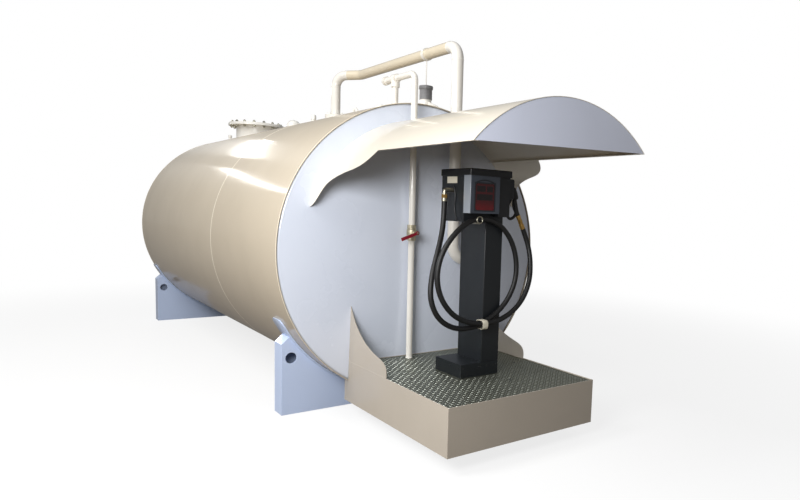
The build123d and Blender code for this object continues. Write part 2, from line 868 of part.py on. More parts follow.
bezel_x = (cabinet_x[0], cabinet_x[0] + bezel_width)
bezel = block(bezel_x, (-bezel_reach, -cabinet_front_reach), (bezel_bottom, cover_bottom))
bezel = fillet(bezel.edges().filter_by(Axis.Z).group_by(Axis.X)[0].group_by(Axis.Y)[0], bezel_edge)
window_x = (bezel_x[0] + window_from_left, bezel_x[0] + window_from_left + window_width)
window_z = (bezel_bottom + window_from_bottom, bezel_bottom + window_from_bottom + window_height)
window_middle = sum(window_x) / 2


def window_block(y):
    return fillet(block(window_x, y, window_z).edges().filter_by(Axis.Y), window_corner)


def brow():
    """A shallow curved groove over the window."""
    foot = window_z[1] + brow_gap
    y = (-bezel_reach - brow_depth, -bezel_reach + brow_depth)
    centre_z = foot + brow_rise - brow_radius
    groove = along(window_middle, y, centre_z, 2 * brow_radius)
    groove = groove - along(window_middle, y, centre_z, 2 * (brow_radius - brow_width))
    limits = (window_middle - brow_span / 2, window_middle + brow_span / 2)
    return groove & block(limits, y, (foot, cover_bottom))


recess = window_block((-bezel_reach - window_recess, -bezel_reach + window_recess))
save("display_bezel", bezel - recess - brow())
window_back = -bezel_reach + window_recess
save("display_window", window_block((window_back - window_thickness, window_back)))

# Nozzle holster: the dark panel beside the bezel, and a cheek with the spout's socket
holster = block(
    (bezel_x[1], cabinet_x[1]), (-bezel_reach + holster_setback, -cabinet_front_reach),
    (holster_bottom, cover_bottom),
)
spout_y = hose_end[1]
spout_z = holster_bottom + spout_rise
cheek_x = (cabinet_x[1], cabinet_x[1] + holster_side_width)
cheek_y = (spout_y - holster_side_depth / 2, spout_y + holster_side_depth / 2)
cheek = block(cheek_x, cheek_y, (spout_z - holster_side_drop, cover_bottom - cover_overhang))
cheek = fillet(cheek.edges().filter_by(Axis.Y).group_by(Axis.X)[-1], holster_corner)
spout_bore = spout_diameter + 2 * spout_gap
socket = across((cheek_x[0] + 2 * spout_gap, cheek_x[1] + spout_gap), spout_y, spout_z, spout_bore)
save("nozzle_holster", holster + cheek - socket)

# Hose: its route by hand, as x, y from the rim, and z
hose_route = [
    hose_exit,
    (-246, -688, 1520),
    (-272, -712, 1400),
    (-345, -775, 1265),
    (-420, -828, 1120),
    (-440, -850, 965),
    (-365, -850, 830),
    (-225, -850, 760),
    (-70, -850, 765),
    (75, -850, 825),
    (195, -850, 925),
    (268, -850, 1065),
    (272, -850, 1220),
    (215, -851, 1365),
    (112, -854, 1466),
    (-30, -864, 1512),
    (-168, -880, 1492),
    (-292, -888, 1405),
    (-385, -888, 1280),
    (-422, -888, 1130),
    (-385, -888, 980),
    (-275, -888, 855),
    (-125, -888, 797),
    (30, -888, 790),
    (180, -888, 830),
    (305, -885, 925),
    (382, -872, 1060),
    (412, -840, 1205),
    (410, -801, 1340),
    hose_end,
]
route = [Vector(x, rim_y + y, z) for x, y, z in hose_route]


# Fuel nozzle hung in the holster: spout, body, handle tube, lever guard and trigger
def in_nozzle_plane(points):
    """Points given as distance out from the holster and height over the spout."""
    return [(cheek_x[1] + out, rim_y + spout_y, spout_z + up) for out, up in points]


hose_lean = (route[-1] - route[-2]).normalized()
swivel_head = route[-1] + hose_lean * swivel_length
inlet = swivel_head + hose_lean * seat_gap
handle_foot = inlet + hose_lean * nozzle_handle_straight
handle_points = [inlet, handle_foot, *in_nozzle_plane([nozzle_handle_end])]
handle = bar(handle_points, nozzle_handle_diameter, nozzle_handle_bend)
spout = across((cheek_x[0] + 3 * spout_gap, cheek_x[1] + spout_reach), spout_y, spout_z, spout_diameter)
body = Rot(Y=-nozzle_body_tilt) * Cylinder(nozzle_body_diameter / 2, nozzle_body_length)
body = fillet(body.edges(), nozzle_body_corner)
body = Pos(cheek_x[1] + nozzle_body_out, rim_y + spout_y, spout_z - nozzle_body_sink) * body
guard = bar(in_nozzle_plane(guard_points), guard_diameter, nozzle_bend)
trigger = bar(in_nozzle_plane(trigger_points), trigger_diameter, nozzle_bend)
save("fuel_nozzle", spout + body + handle + guard + trigger)
save("hose_swivel", bar([route[-1], swivel_head], swivel_diameter, 0))

# Hose fitting: an elbow out of the cabinet's side that turns down into the collar
exit_x, exit_y, exit_z = hose_exit
elbow_z = exit_z + hose_fitting_length
collar_top = exit_z + hose_collar_length
elbow_points = [
    (cabinet_x[0], rim_y + exit_y, elbow_z),
    (exit_x, rim_y + exit_y, elbow_z),
    (exit_x, rim_y + exit_y, exit_z + hose_collar_length / 2),
]
elbow = bar(elbow_points, hose_elbow_diameter, hose_elbow_bend)
collar = upright(exit_x, exit_y, (exit_z, collar_top), hose_collar_diameter)
save("hose_fitting", elbow + collar)

# Hose ring: an arm under the cabinet, out to the front, with an eye that keeps the hose on it
arm_z = cabinet_bottom - ring_arm_diameter / 2
arm_y = (-ring_reach + ring_wire / 2, -cabinet_front_reach + ring_arm_root)
ring_arm = along(ring_x, arm_y, arm_z, ring_arm_diameter)
eye = Torus(ring_diameter / 2, ring_wire / 2)
eye_place = Pos(ring_x, rim_y - ring_reach + ring_wire / 2, arm_z + ring_diameter / 2)
save("hose_ring", ring_arm + eye_place * Rot(X=90) * eye)


# Hose
def cord_radii(points):
    """An arc for each corner, as large as its two runs allow."""
    radii = []
    for before, corner, after in zip(points, points[1:], points[2:]):
        into = corner - before
        out = after - corner
        turn = radians(into.get_angle(out))
        radii.append(arc_share * min(into.length, out.length) / tan(turn / 2))
    return radii


radii = cord_radii(route)
hose_path = FilletPolyline(*route, radius=radii)
hose_start = Plane(origin=hose_path @ 0, z_dir=hose_path % 0)
hose = sweep(hose_start * Circle(hose_diameter / 2), path=hose_path)
print("hose length", round(hose_path.length), "tightest arc", round(min(radii)))
print("hose volume share", hose.volume / (pi * hose_diameter**2 / 4 * hose_path.length))
save("hose", hose)


def clip_block(length, margin):
    """A rounded block round both runs of the hose, larger than the eye by the margin."""
    y = clip_eye_depth / 2 + margin
    z = clip_eye_height / 2 + margin
    solid = block(
        (clip_x - length / 2, clip_x + length / 2),
        (clip_from_rim - y, clip_from_rim + y),
        (clip_height - z, clip_height + z),
    )
    return fillet(solid.edges().filter_by(Axis.X), clip_corner + margin)


save("hose_clip", clip_block(clip_length, clip_wall) - clip_block(2 * clip_length, 0))
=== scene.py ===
# %% [markdown]
# # A double-wall storage tank with a dispensing step
#
# The tank is a round steel shell on two box saddles. A canopy, a step and a pedestal with a
# fuel dispenser stand against its front end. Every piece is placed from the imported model,
# so the first step loads that model as a frame that never moves.

# %% Load the frame
import json
import math
import random

import bmesh
import bpy
from mathutils import Matrix, Vector


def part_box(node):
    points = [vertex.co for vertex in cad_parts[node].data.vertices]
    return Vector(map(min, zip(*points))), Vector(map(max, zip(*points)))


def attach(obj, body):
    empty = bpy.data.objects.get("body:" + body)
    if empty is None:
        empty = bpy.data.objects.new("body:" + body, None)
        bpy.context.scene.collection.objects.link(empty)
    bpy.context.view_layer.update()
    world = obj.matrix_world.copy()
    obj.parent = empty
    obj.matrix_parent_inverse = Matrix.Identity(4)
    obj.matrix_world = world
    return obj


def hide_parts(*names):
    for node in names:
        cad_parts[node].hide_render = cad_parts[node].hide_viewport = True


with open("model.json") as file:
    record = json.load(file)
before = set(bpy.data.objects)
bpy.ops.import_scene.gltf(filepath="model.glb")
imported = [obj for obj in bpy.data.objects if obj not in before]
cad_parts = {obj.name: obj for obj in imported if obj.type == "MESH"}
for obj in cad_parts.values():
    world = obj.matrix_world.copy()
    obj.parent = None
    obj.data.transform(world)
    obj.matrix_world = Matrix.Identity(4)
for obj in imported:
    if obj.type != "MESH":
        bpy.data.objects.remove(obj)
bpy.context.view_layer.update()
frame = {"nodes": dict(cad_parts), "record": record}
nodes = frame["nodes"]
random.seed(7)
print("nodes in the frame:", len(nodes))

# %% [markdown]
# ## Where the camera stands
#
# A camera looks along its own -Z. Its turn is built from the direction it faces, with a
# small roll, and put into a matrix as three columns: right, up and backwards. The two
# shifts slide the picture without turning the camera, which keeps upright edges in line.

# %% Camera
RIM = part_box("outer_shell_front_course")[0].y
CAMERA_PLACE = Vector((-2.5827, RIM - 4.3061, 1.5602))
CAMERA_YAW = math.radians(40.08)
CAMERA_PITCH = math.radians(-5.78)
CAMERA_ROLL = math.radians(2.28)
CAMERA_LENS = 28.41
CAMERA_SHIFT = (-0.1524, 0.0326)


def camera_turn(yaw, pitch, roll):
    """The matrix of a camera that faces along yaw from +Y, then pitch, rolled about its view."""
    ahead = Vector((math.sin(yaw) * math.cos(pitch), math.cos(yaw) * math.cos(pitch), math.sin(pitch)))
    level = Vector((math.cos(yaw), -math.sin(yaw), 0))
    upright = level.cross(ahead)
    right = math.cos(roll) * level + math.sin(roll) * upright
    up = math.cos(roll) * upright - math.sin(roll) * level
    return Matrix((right, up, -ahead)).transposed().to_4x4()


lens = bpy.data.cameras.new("camera")
lens.sensor_width = 36
lens.lens = CAMERA_LENS
lens.shift_x, lens.shift_y = CAMERA_SHIFT
lens.clip_end = 200
camera = bpy.data.objects.new("camera", lens)
camera.matrix_world = Matrix.Translation(CAMERA_PLACE) @ camera_turn(CAMERA_YAW, CAMERA_PITCH, CAMERA_ROLL)
bpy.context.scene.collection.objects.link(camera)
bpy.context.scene.camera = camera
print("camera at", tuple(round(v, 2) for v in camera.location))

# %% [markdown]
# ## The hose
#
# A filled rubber hose is heavy and stiff. It drops out of its collar, swings down through
# the clip, climbs to the front of the pedestal, falls again on the left and comes up at the
# right to the nozzle. A NURBS line through a few control points has no corners at all,
# which is how such a hose bends. Its points are the ones that the model's tube follows.

# %% Hose
HOSE_DIAMETER = 0.036
HOSE_ROUTE = [
    (-0.246, -0.688, 1.612),
    (-0.246, -0.688, 1.520),
    (-0.272, -0.712, 1.400),
    (-0.345, -0.775, 1.265),
    (-0.420, -0.828, 1.120),
    (-0.440, -0.850, 0.965),
    (-0.365, -0.850, 0.830),
    (-0.225, -0.850, 0.760),
    (-0.070, -0.850, 0.765),
    (0.075, -0.850, 0.825),
    (0.195, -0.850, 0.925),
    (0.268, -0.850, 1.065),
    (0.272, -0.850, 1.220),
    (0.215, -0.851, 1.365),
    (0.112, -0.854, 1.466),
    (-0.030, -0.864, 1.512),
    (-0.168, -0.880, 1.492),
    (-0.292, -0.888, 1.405),
    (-0.385, -0.888, 1.280),
    (-0.422, -0.888, 1.130),
    (-0.385, -0.888, 0.980),
    (-0.275, -0.888, 0.855),
    (-0.125, -0.888, 0.797),
    (0.030, -0.888, 0.790),
    (0.180, -0.888, 0.830),
    (0.305, -0.885, 0.925),
    (0.382, -0.872, 1.060),
    (0.412, -0.840, 1.205),
    (0.410, -0.801, 1.340),
    (0.356, -0.801, 1.441),
]
SWIVEL_LENGTH = 0.108


def smooth_line(name, points, radius):
    """A round NURBS curve with these control points, which hold its radius."""
    curve = bpy.data.curves.new(name, "CURVE")
    curve.dimensions = "3D"
    curve.bevel_depth = 1.0
    curve.bevel_resolution = 8
    curve.resolution_u = 10
    curve.use_fill_caps = True
    spline = curve.splines.new("NURBS")
    spline.points.add(len(points) - 1)
    for control, point in zip(spline.points, points):
        control.co = (*point, 1)
        control.radius = radius
    spline.order_u = 3
    spline.use_endpoint_u = True
    line = bpy.data.objects.new(name, curve)
    bpy.context.scene.collection.objects.link(line)
    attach(line, "tank")
    return line


def spin_outline(bm, outline, foot, axis, steps=64, closed=False):
    """Turn an outline of (radius, distance along the axis) points once round the axis."""
    foot = Vector(foot)
    axis = Vector(axis).normalized()
    outward = axis.orthogonal().normalized()
    verts = [bm.verts.new(foot + outward * radius + axis * along) for radius, along in outline]
    pairs = list(zip(verts, verts[1:]))
    if closed:
        pairs.append((verts[-1], verts[0]))
    edges = [bm.edges.new(pair) for pair in pairs]
    bmesh.ops.spin(
        bm, geom=verts + edges, cent=foot, axis=axis,
        angle=2 * math.pi, steps=steps, use_merge=True,
    )


def make_piece(name, bm, stands_for=(), body="tank", crease=35):
    """Close the mesh in the making as a piece on a body, with creases where it turns sharply."""
    bmesh.ops.remove_doubles(bm, verts=bm.verts, dist=0.00001)
    bmesh.ops.recalc_face_normals(bm, faces=bm.faces)
    mesh = bpy.data.meshes.new(name)
    bm.to_mesh(mesh)
    bm.free()
    mesh.shade_smooth()
    mesh.set_sharp_from_angle(angle=math.radians(crease))
    piece = bpy.data.objects.new(name, mesh)
    bpy.context.scene.collection.objects.link(piece)
    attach(piece, body)
    if stands_for:
        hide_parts(*stands_for)
    return piece


hose_points = [(x, RIM + y, z) for x, y, z in HOSE_ROUTE]
hose = smooth_line("hose_run", hose_points, HOSE_DIAMETER / 2)
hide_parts("hose")

hose_end = Vector(hose_points[-1])
hose_lean = (hose_end - Vector(hose_points[-2])).normalized()
bm = bmesh.new()
SWIVEL_OUTLINE = [
    (0, 0), (0.0165, 0), (0.018, 0.0015), (0.018, 0.034), (0.0165, 0.036), (0.0145, 0.038), (0.0145, 0.044),
    (0.0172, 0.046), (0.0172, 0.050), (0.0152, 0.052), (0.0152, 0.084), (0.0175, 0.086), (0.0178, 0.104),
    (0.0165, SWIVEL_LENGTH), (0, SWIVEL_LENGTH),
]
spin_outline(bm, SWIVEL_OUTLINE, hose_end, hose_lean, 40)
turned = hose_lean.to_track_quat("Z", "Y").to_matrix().to_4x4()
hexagon = Matrix.Translation(hose_end + hose_lean * 0.066) @ turned
bmesh.ops.create_cone(
    bm, cap_ends=True, segments=6, radius1=0.0178, radius2=0.0178, depth=0.022, matrix=hexagon
)
swivel = make_piece("swivel_joint", bm, ["hose_swivel"], crease=30)
print("hose control points:", len(hose_points))

# %% [markdown]
# ## Shader maths that reads like sums
#
# A material is a tree of nodes. Written out, each sum needs a node and two links. The small
# class Signal wraps one socket, so that a + b or 1 - mask adds its own Math node, and the
# class Finish holds the tree and makes every other node through one method.

# %% Signals and finishes
class Signal:
    """One output socket of a finish. Sums on it add Math nodes."""

    def __init__(self, finish, socket):
        self.finish = finish
        self.socket = socket

    def maths(self, operation, first, second=0.0):
        return self.finish.node("Math", {"operation": operation}, {0: first, 1: second})

    def __add__(self, other):
        return self.maths("ADD", self, other)

    def __radd__(self, other):
        return self.maths("ADD", other, self)

    def __sub__(self, other):
        return self.maths("SUBTRACT", self, other)

    def __rsub__(self, other):
        return self.maths("SUBTRACT", other, self)

    def __mul__(self, other):
        return self.maths("MULTIPLY", self, other)


class Finish:
    """A material in the making, with its shader's plain numbers set first."""

    def __init__(self, name, colour, roughness=0.5, metallic=0.0, coat=0.0, coat_roughness=0.06):
        self.material = bpy.data.materials.new(name)
        self.material.use_nodes = True
        self.tree = self.material.node_tree
        self.shader = self.tree.nodes["Principled BSDF"]
        self.feed("Base Color", colour)
        self.feed("Roughness", roughness)
        self.feed("Metallic", metallic)
        self.feed("Coat Weight", coat)
        self.feed("Coat Roughness", coat_roughness)

    def put(self, socket, value):
        """Link a signal to a socket, or write a number or a colour on it."""
        if isinstance(value, Signal):
            self.tree.links.new(value.socket, socket)
        elif hasattr(value, "__len__") and len(value) == 3 and len(socket.default_value) == 4:
            socket.default_value = (*value, 1)
        else:
            socket.default_value = value

    def feed(self, name, value):
        self.put(self.shader.inputs[name], value)

    def node(self, kind, settings=None, sockets=None, out=0):
        """Add a node of a type: its settings go in first, then its sockets."""
        made = self.tree.nodes.new("ShaderNode" + kind)
        for key, value in (settings or {}).items():
            setattr(made, key, value)
        for key, value in (sockets or {}).items():
            self.put(made.inputs[key], value)
        return Signal(self, made.outputs[out])

    def place(self, scale=(1, 1, 1), turn=(0, 0, 0), move=(0, 0, 0)):
        """The point on the piece in metres, moved, turned and scaled."""
        point = self.node("TexCoord", out="Object")
        settings = {"Vector": point, "Location": move, "Rotation": turn, "Scale": scale}
        return self.node("Mapping", {"vector_type": "POINT"}, settings)

    def axis(self, vector, letter):
        return self.node("SeparateXYZ", None, {"Vector": vector}, out=letter)

    def noise(self, vector, scale, detail=3.0, roughness=0.5):
        sockets = {"Vector": vector, "Scale": scale, "Detail": detail, "Roughness": roughness}
        return self.node("TexNoise", {"noise_dimensions": "3D"}, sockets)

    def step(self, value, low, high):
        """0 below low, 1 above high, and a soft rise between them."""
        settings = {"interpolation_type": "SMOOTHSTEP"}
        sockets = {"Value": value, "From Min": low, "From Max": high}
        return self.node("MapRange", settings, sockets)

    def mix(self, share, first, second):
        """One colour turning into another."""
        settings = {"data_type": "RGBA"}
        return self.node("Mix", settings, {0: share, 6: first, 7: second}, out=2)

    def bump(self, height, distance, strength=1.0):
        sockets = {"Height": height, "Distance": distance, "Strength": strength}
        self.feed("Normal", self.node("Bump", None, sockets))


def colour(red, green, blue):
    """A colour as read on a screen, from 0 to 255, in the renderer's linear light."""
    def linear(value):
        share = value / 255
        return share / 12.92 if share < 0.04045 else ((share + 0.055) / 1.055) ** 2.4

    return tuple(linear(value) for value in (red, green, blue))


print("finishes ready")

# %% [markdown]
# ## Enamel
#
# The shell, canopy, step, saddles and pipes are sprayed with gloss enamel. Rolled plate is
# never quite flat, so what it reflects wavers slowly. The tone drifts a little as well, and
# dust lies in patches that darken more towards the ground as painted shade. Each tone is one
# call of the same function.

# %% Enamel finishes
AXIS_Z = 1.226
PLATE_WAVE = 0.004
END_WHITE = colour(222, 229, 243)


def enamel(name, tone, roughness=0.3, coat=0.8, dust_and_shade=0.12, dust_and_shade_top=0.5, blur=0.03):
    """Gloss paint: tone drifts, a slow wave in the plate, and dust patches that darken more towards the
    ground as painted shade.
    """
    finish = Finish(name, tone, roughness, 0.0, coat, blur)
    point = finish.place()
    height = finish.axis(point, "Z")
    drift = finish.noise(point, 1.7, 4.0, 0.55)
    specks = finish.noise(point, 9.0, 2.0, 0.5)
    # painted shade: the dust patches are weighted to darken more towards the ground, for the shaded belly
    low = 1 - finish.step(height, 0.0, dust_and_shade_top)
    dust = finish.step(drift * 0.8 + specks * 0.2, 0.4, 0.8)
    shade = tuple(part * 0.86 for part in tone)
    dirt_and_shade_tone = tuple(part * scale for part, scale in zip(tone, (0.62, 0.56, 0.47)))
    toned = finish.mix(finish.step(drift, 0.3, 0.8) * 0.35, tone, shade)
    finish.feed("Base Color", finish.mix(dust * (low * 0.75 + 0.25) * dust_and_shade, toned, dirt_and_shade_tone))
    finish.feed("Roughness", roughness + dust * 0.05 + low * 0.05)
    finish.bump(finish.noise(point, 2.4, 1.0, 0.3), PLATE_WAVE, 0.5)
    return finish.material


def end_enamel():
    """White enamel with a painted shadow in the groove between the end and the shell's rim, and painted
    shade that makes it darker and browner towards the bottom.
    """
    finish = Finish("end_paint", END_WHITE, 0.22, 0.0, 0.8)
    point = finish.place()
    flat = finish.place(scale=(1, 0, 1), move=(0, 0, -AXIS_Z))
    radius = finish.node("VectorMath", {"operation": "LENGTH"}, {0: flat}, out="Value")
    drift = finish.noise(point, 1.6, 4.0, 0.55)
    # painted shadow: a grey ring in the groove where the end meets the shell's rim
    groove_shadow = finish.step(radius, 1.106, 1.122)
    # painted shade: the end plate turns darker and browner towards its bottom
    low = 1 - finish.step(finish.axis(point, "Z"), 0.1, 0.9)
    toned = finish.mix(finish.step(drift, 0.3, 0.8) * 0.3, END_WHITE, colour(212, 219, 236))
    toned = finish.mix(low * 0.12, toned, colour(170, 160, 145))
    finish.feed("Base Color", finish.mix(groove_shadow * 0.35, toned, colour(130, 128, 120)))
    finish.feed("Roughness", 0.22 + drift * 0.1 + groove_shadow * 0.3)
    finish.bump(finish.noise(point, 2.0, 1.0, 0.3), PLATE_WAVE, 0.5)
    return finish.material


shell_paint = enamel("shell_paint", colour(202, 189, 167), roughness=0.48, coat=0.55, blur=0.11)
# painted highlight: the weld beads are painted paler than the shell, for the bright line they catch
seam_highlight_paint = enamel("seam_highlight_paint", colour(236, 227, 208), roughness=0.3, coat=0.5)
end_paint = end_enamel()
saddle_paint = enamel("saddle_paint", colour(196, 212, 242), roughness=0.34, coat=0.4, dust_and_shade_top=0.25)
canopy_paint = enamel("canopy_paint", colour(224, 216, 200), roughness=0.3, coat=0.5, dust_and_shade=0.06)
fascia_paint = enamel("fascia_paint", colour(226, 232, 250), roughness=0.3, coat=0.5, dust_and_shade=0.04)
step_paint = enamel("step_paint", colour(180, 171, 158), roughness=0.38, coat=0.35, dust_and_shade_top=0.42)
pipe_paint = enamel("pipe_paint", colour(234, 230, 222), roughness=0.3, coat=0.7, dust_and_shade=0.05)
fill_paint = enamel("fill_paint", colour(222, 210, 186), roughness=0.3, coat=0.7, dust_and_shade=0.05)
# partly painted light: the fittings' pale paint is raised further towards white, for the strong light on
# top of the tank
fitting_paint = enamel("fitting_paint", colour(244, 242, 236), roughness=0.32, coat=0.6)
print("enamel finishes made")

# %% [markdown]
# ## Powder coat and plastics
#
# The dispenser is folded sheet with a dark powder coat, which has a fine leathery grain.
# Its cover, holster and nozzle are moulded plastic, smoother but with a soft grain too.

# %% Dark finishes
def grained(name, tone, roughness, grain=0.0004, coat=0.0, scale=420.0, wear=0.25):
    """Powder coat or moulded plastic: a fine grain and slightly uneven gloss."""
    finish = Finish(name, tone, roughness, 0.0, coat, 0.2)
    point = finish.place()
    cloud = finish.noise(point, 5.0, 4.0, 0.6)
    fine = finish.noise(point, scale, 2.0, 0.5)
    rubbed = tuple(min(1.0, part * 1.5 + 0.006) for part in tone)
    finish.feed("Base Color", finish.mix(finish.step(cloud, 0.45, 0.8) * wear, tone, rubbed))
    finish.feed("Roughness", roughness + (cloud - 0.5) * 0.16)
    finish.bump(fine, grain, 0.5)
    return finish.material


dispenser_paint = grained("dispenser_paint", colour(13, 18, 22), 0.5, coat=0.04)
cover_plastic = grained("cover_plastic", colour(12, 14, 17), 0.45, 0.0003)
nozzle_black = grained("nozzle_black", colour(9, 9, 10), 0.5, 0.0005)
gauge_grey = grained("gauge_grey", colour(126, 126, 128), 0.4, 0.0003, coat=0.3)
screw_black = grained("screw_black", colour(16, 17, 19), 0.3, 0.0001)
clip_plastic = grained("clip_plastic", colour(208, 202, 184), 0.5, 0.0004)
lever_red = grained("lever_red", colour(140, 26, 44), 0.32, 0.0003, coat=0.4)
print("dark finishes made")

# %% [markdown]
# ## Hose rubber, window, metals and tread plate
#
# The hose has a fabric-marked cover: a fine grain with faint dull patches where it is
# handled. Metals are told apart by colour and by how evenly they were turned or plated.

# %% Rubber, glass and metal finishes
def rubber():
    """Black hose cover, with dull patches where it is handled."""
    black = colour(11, 11, 12)
    finish = Finish("hose_rubber", black, 0.46)
    point = finish.place()
    dull = finish.noise(point, 9.0, 4.0, 0.6)
    handled = finish.step(dull, 0.5, 0.8) * 0.3
    finish.feed("Base Color", finish.mix(handled, black, colour(30, 30, 31)))
    finish.feed("Roughness", 0.42 + dull * 0.2)
    finish.bump(finish.noise(point, 520.0, 2.0, 0.5), 0.0004, 0.5)
    return finish.material


def metal(name, tone, roughness, scratch=60.0, stretch=(1, 1, 12)):
    """Turned or plated metal: fine lines along one way, and a few dull spots."""
    finish = Finish(name, tone, roughness, 1.0)
    lines = finish.noise(finish.place(scale=stretch), scratch, 3.0, 0.6)
    dull = finish.noise(finish.place(), 14.0, 4.0, 0.6)
    shade = tuple(part * 0.6 for part in tone)
    finish.feed("Base Color", finish.mix(finish.step(dull, 0.45, 0.85) * 0.5, tone, shade))
    finish.feed("Roughness", roughness + (lines - 0.5) * 0.2 + dull * 0.08)
    finish.bump(lines, 0.0002, 0.3)
    return finish.material


brass = metal("brass", colour(196, 158, 92), 0.28)
cast_brass = metal("cast_brass", colour(196, 188, 164), 0.5, 30.0, (1, 1, 1))
plated_steel = metal("plated_steel", colour(172, 168, 152), 0.32)
tread_metal = metal("tread_metal", colour(122, 124, 112), 0.5, 24.0, (1, 1, 1))
tread_worn = metal("tread_worn", colour(186, 190, 180), 0.34, 30.0, (1, 1, 1))
inner_steel = metal("inner_steel", colour(120, 120, 122), 0.5, 10.0, (1, 1, 1))
hose_rubber = rubber()


def inside(finish, value, low, high, soft=0.0015):
    """1 between two limits along one axis, and 0 outside them."""
    return finish.step(value, low - soft, low + soft) * (1 - finish.step(value, high - soft, high + soft))


WINDOW_X = -0.056
BROW_Z = 1.600


def bezel():
    """Slate moulding: a paler left side, painted as the light from the left falls on it, and a dark frame
    and brow round the window.
    """
    slate = colour(56, 62, 72)
    finish = Finish("bezel_plastic", slate, 0.34, 0.0, 0.15, 0.15)
    point = finish.place()
    cloud = finish.noise(point, 6.0, 3.0, 0.5)
    toned = finish.mix(finish.step(cloud, 0.4, 0.8) * 0.4, slate, colour(70, 78, 90))
    across = finish.axis(point, "X")
    up = finish.axis(point, "Z")
    # painted light: the left side face is made paler, as if lit from the left
    side = 1 - finish.step(across, -0.1735, -0.1715)
    beside = inside(finish, across, WINDOW_X - 0.087, WINDOW_X + 0.087)
    surround = beside * inside(finish, up, 1.553, 1.747)
    flat = finish.place(scale=(1, 0, 1), move=(-WINDOW_X, 0, -BROW_Z))
    reach = finish.node("VectorMath", {"operation": "LENGTH"}, {0: flat}, out="Value")
    brow = inside(finish, reach, 0.1562, 0.1655, 0.0008) * inside(finish, up, 1.746, 1.775)
    front = 1 - finish.step(finish.axis(point, "Y"), RIM - 0.880, RIM - 0.870)
    toned = finish.mix((surround + brow) * front, toned, colour(20, 23, 30))
    # painted light: the left side face takes the paler colour
    finish.feed("Base Color", finish.mix(side, toned, colour(140, 146, 154)))
    finish.feed("Roughness", 0.3 + cloud * 0.1)
    finish.bump(finish.noise(point, 600.0, 2.0, 0.5), 0.0001, 0.4)
    return finish.material


def window():
    """Dark red glass with two rows of darker display fields behind it."""
    finish = Finish("window_red", colour(60, 6, 10), 0.22, 0.0, 0.0)
    point = finish.place()
    x = finish.axis(point, "X")
    z = finish.axis(point, "Z")
    upper = inside(finish, z, 1.684, 1.722) * inside(finish, x, -0.122, -0.050)
    upper = upper + inside(finish, z, 1.684, 1.722) * inside(finish, x, -0.040, 0.010)
    lower = inside(finish, z, 1.628, 1.668) * inside(finish, x, -0.122, 0.010)
    low_glow = 1 - finish.step(z, 1.57, 1.63)
    glass = finish.mix(low_glow * 0.6, colour(64, 5, 10), colour(104, 8, 14))
    haze = finish.noise(point, 12.0, 3.0, 0.5)
    glass = finish.mix(finish.step(haze, 0.45, 0.8) * 0.3, glass, colour(44, 4, 9))
    finish.feed("Base Color", finish.mix(upper + lower, glass, colour(20, 7, 8)))
    finish.feed("Roughness", 0.2 + haze * 0.08)
    return finish.material


bezel_plastic = bezel()
window_red = window()
print("metal finishes made")

# %% [markdown]
# ## Dressing the model's own pieces
#
# Plates and boxes have their right shape already. They get their finish, and a live bevel
# that breaks their sharp edges, because a real edge always catches a thin line of light.
# The bevel is a modifier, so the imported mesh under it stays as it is.

# %% Finish for each slot
slot_finish = {
    "shell_paint": shell_paint,
    "end_paint": end_paint,
    "inner_steel": inner_steel,
    "saddle_paint": saddle_paint,
    "fitting_paint": fitting_paint,
    "pipe_paint": pipe_paint,
    "cap_brass": cast_brass,
    "gauge_grey": gauge_grey,
    "lever_red": lever_red,
    "canopy_paint": canopy_paint,
    "step_paint": step_paint,
    "tread_metal": tread_metal,
    "dispenser_paint": dispenser_paint,
    "cover_plastic": cover_plastic,
    "bezel_plastic": bezel_plastic,
    "window_red": window_red,
    "nozzle_black": nozzle_black,
    "swivel_brass": brass,
    "fitting_steel": plated_steel,
    "hose_rubber": hose_rubber,
    "clip_plastic": clip_plastic,
}


def dress(piece, finish):
    """Give a piece one finish all over."""
    piece.data.materials.clear()
    piece.data.materials.append(finish)


def ease_edges(piece, width, segments=2, angle=30):
    """Round a plate's sharp edges with live modifiers, and keep its flats flat."""
    weld = piece.modifiers.new("weld", "WELD")
    weld.merge_threshold = 0.00001
    bevel = piece.modifiers.new("bevel", "BEVEL")
    bevel.width = width
    bevel.segments = segments
    bevel.limit_method = "ANGLE"
    bevel.angle_limit = math.radians(angle)
    bevel.harden_normals = True


for part in frame["record"]["subparts"]:
    dress(nodes[part["node"]], slot_finish[part["material_slot"]])
hose.data.materials.append(hose_rubber)
swivel.data.materials.append(brass)
dress(nodes["canopy_fascia"], fascia_paint)
dress(nodes["fill_run"], fill_paint)
for name in ("saddle_wear_plates", "lifting_lug", "saddle_front_webs", "saddle_rear_webs"):
    ease_edges(nodes[name], 0.0012)
for name in ("saddle_front_frame", "saddle_rear_frame"):
    ease_edges(nodes[name], 0.0025)
for name in ("step_skirt_left", "step_skirt_right", "step_skirt_front", "side_wings"):
    ease_edges(nodes[name], 0.0012)
for name in ("dispenser_base", "pedestal", "cabinet_body", "display_bezel", "nozzle_holster"):
    ease_edges(nodes[name], 0.0015)
ease_edges(nodes["hose_clip"], 0.0008)
ease_edges(nodes["valve_lever"], 0.0012)
ease_edges(nodes["manhole_neck"], 0.002)

# %% [markdown]
# ## Shell and ends
#
# The shell is two rolled courses that butt at a girth seam, where the weld stands up as a
# low bead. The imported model's round plates have flat facets, so these stand in for them as
# outlines turned round the tank's axis in 180 steps. The paint surface lies 1.5 mm inside
# the plate's outline, so that the beads on it end at the shell's real radius.

# %% Shell and ends
SHELL_RADIUS = 1.1299
SHELL_LENGTH = 4.925
SEAM_Y = 1.657
BEAD = 0.0015
SKIN_RADIUS = SHELL_RADIUS - BEAD


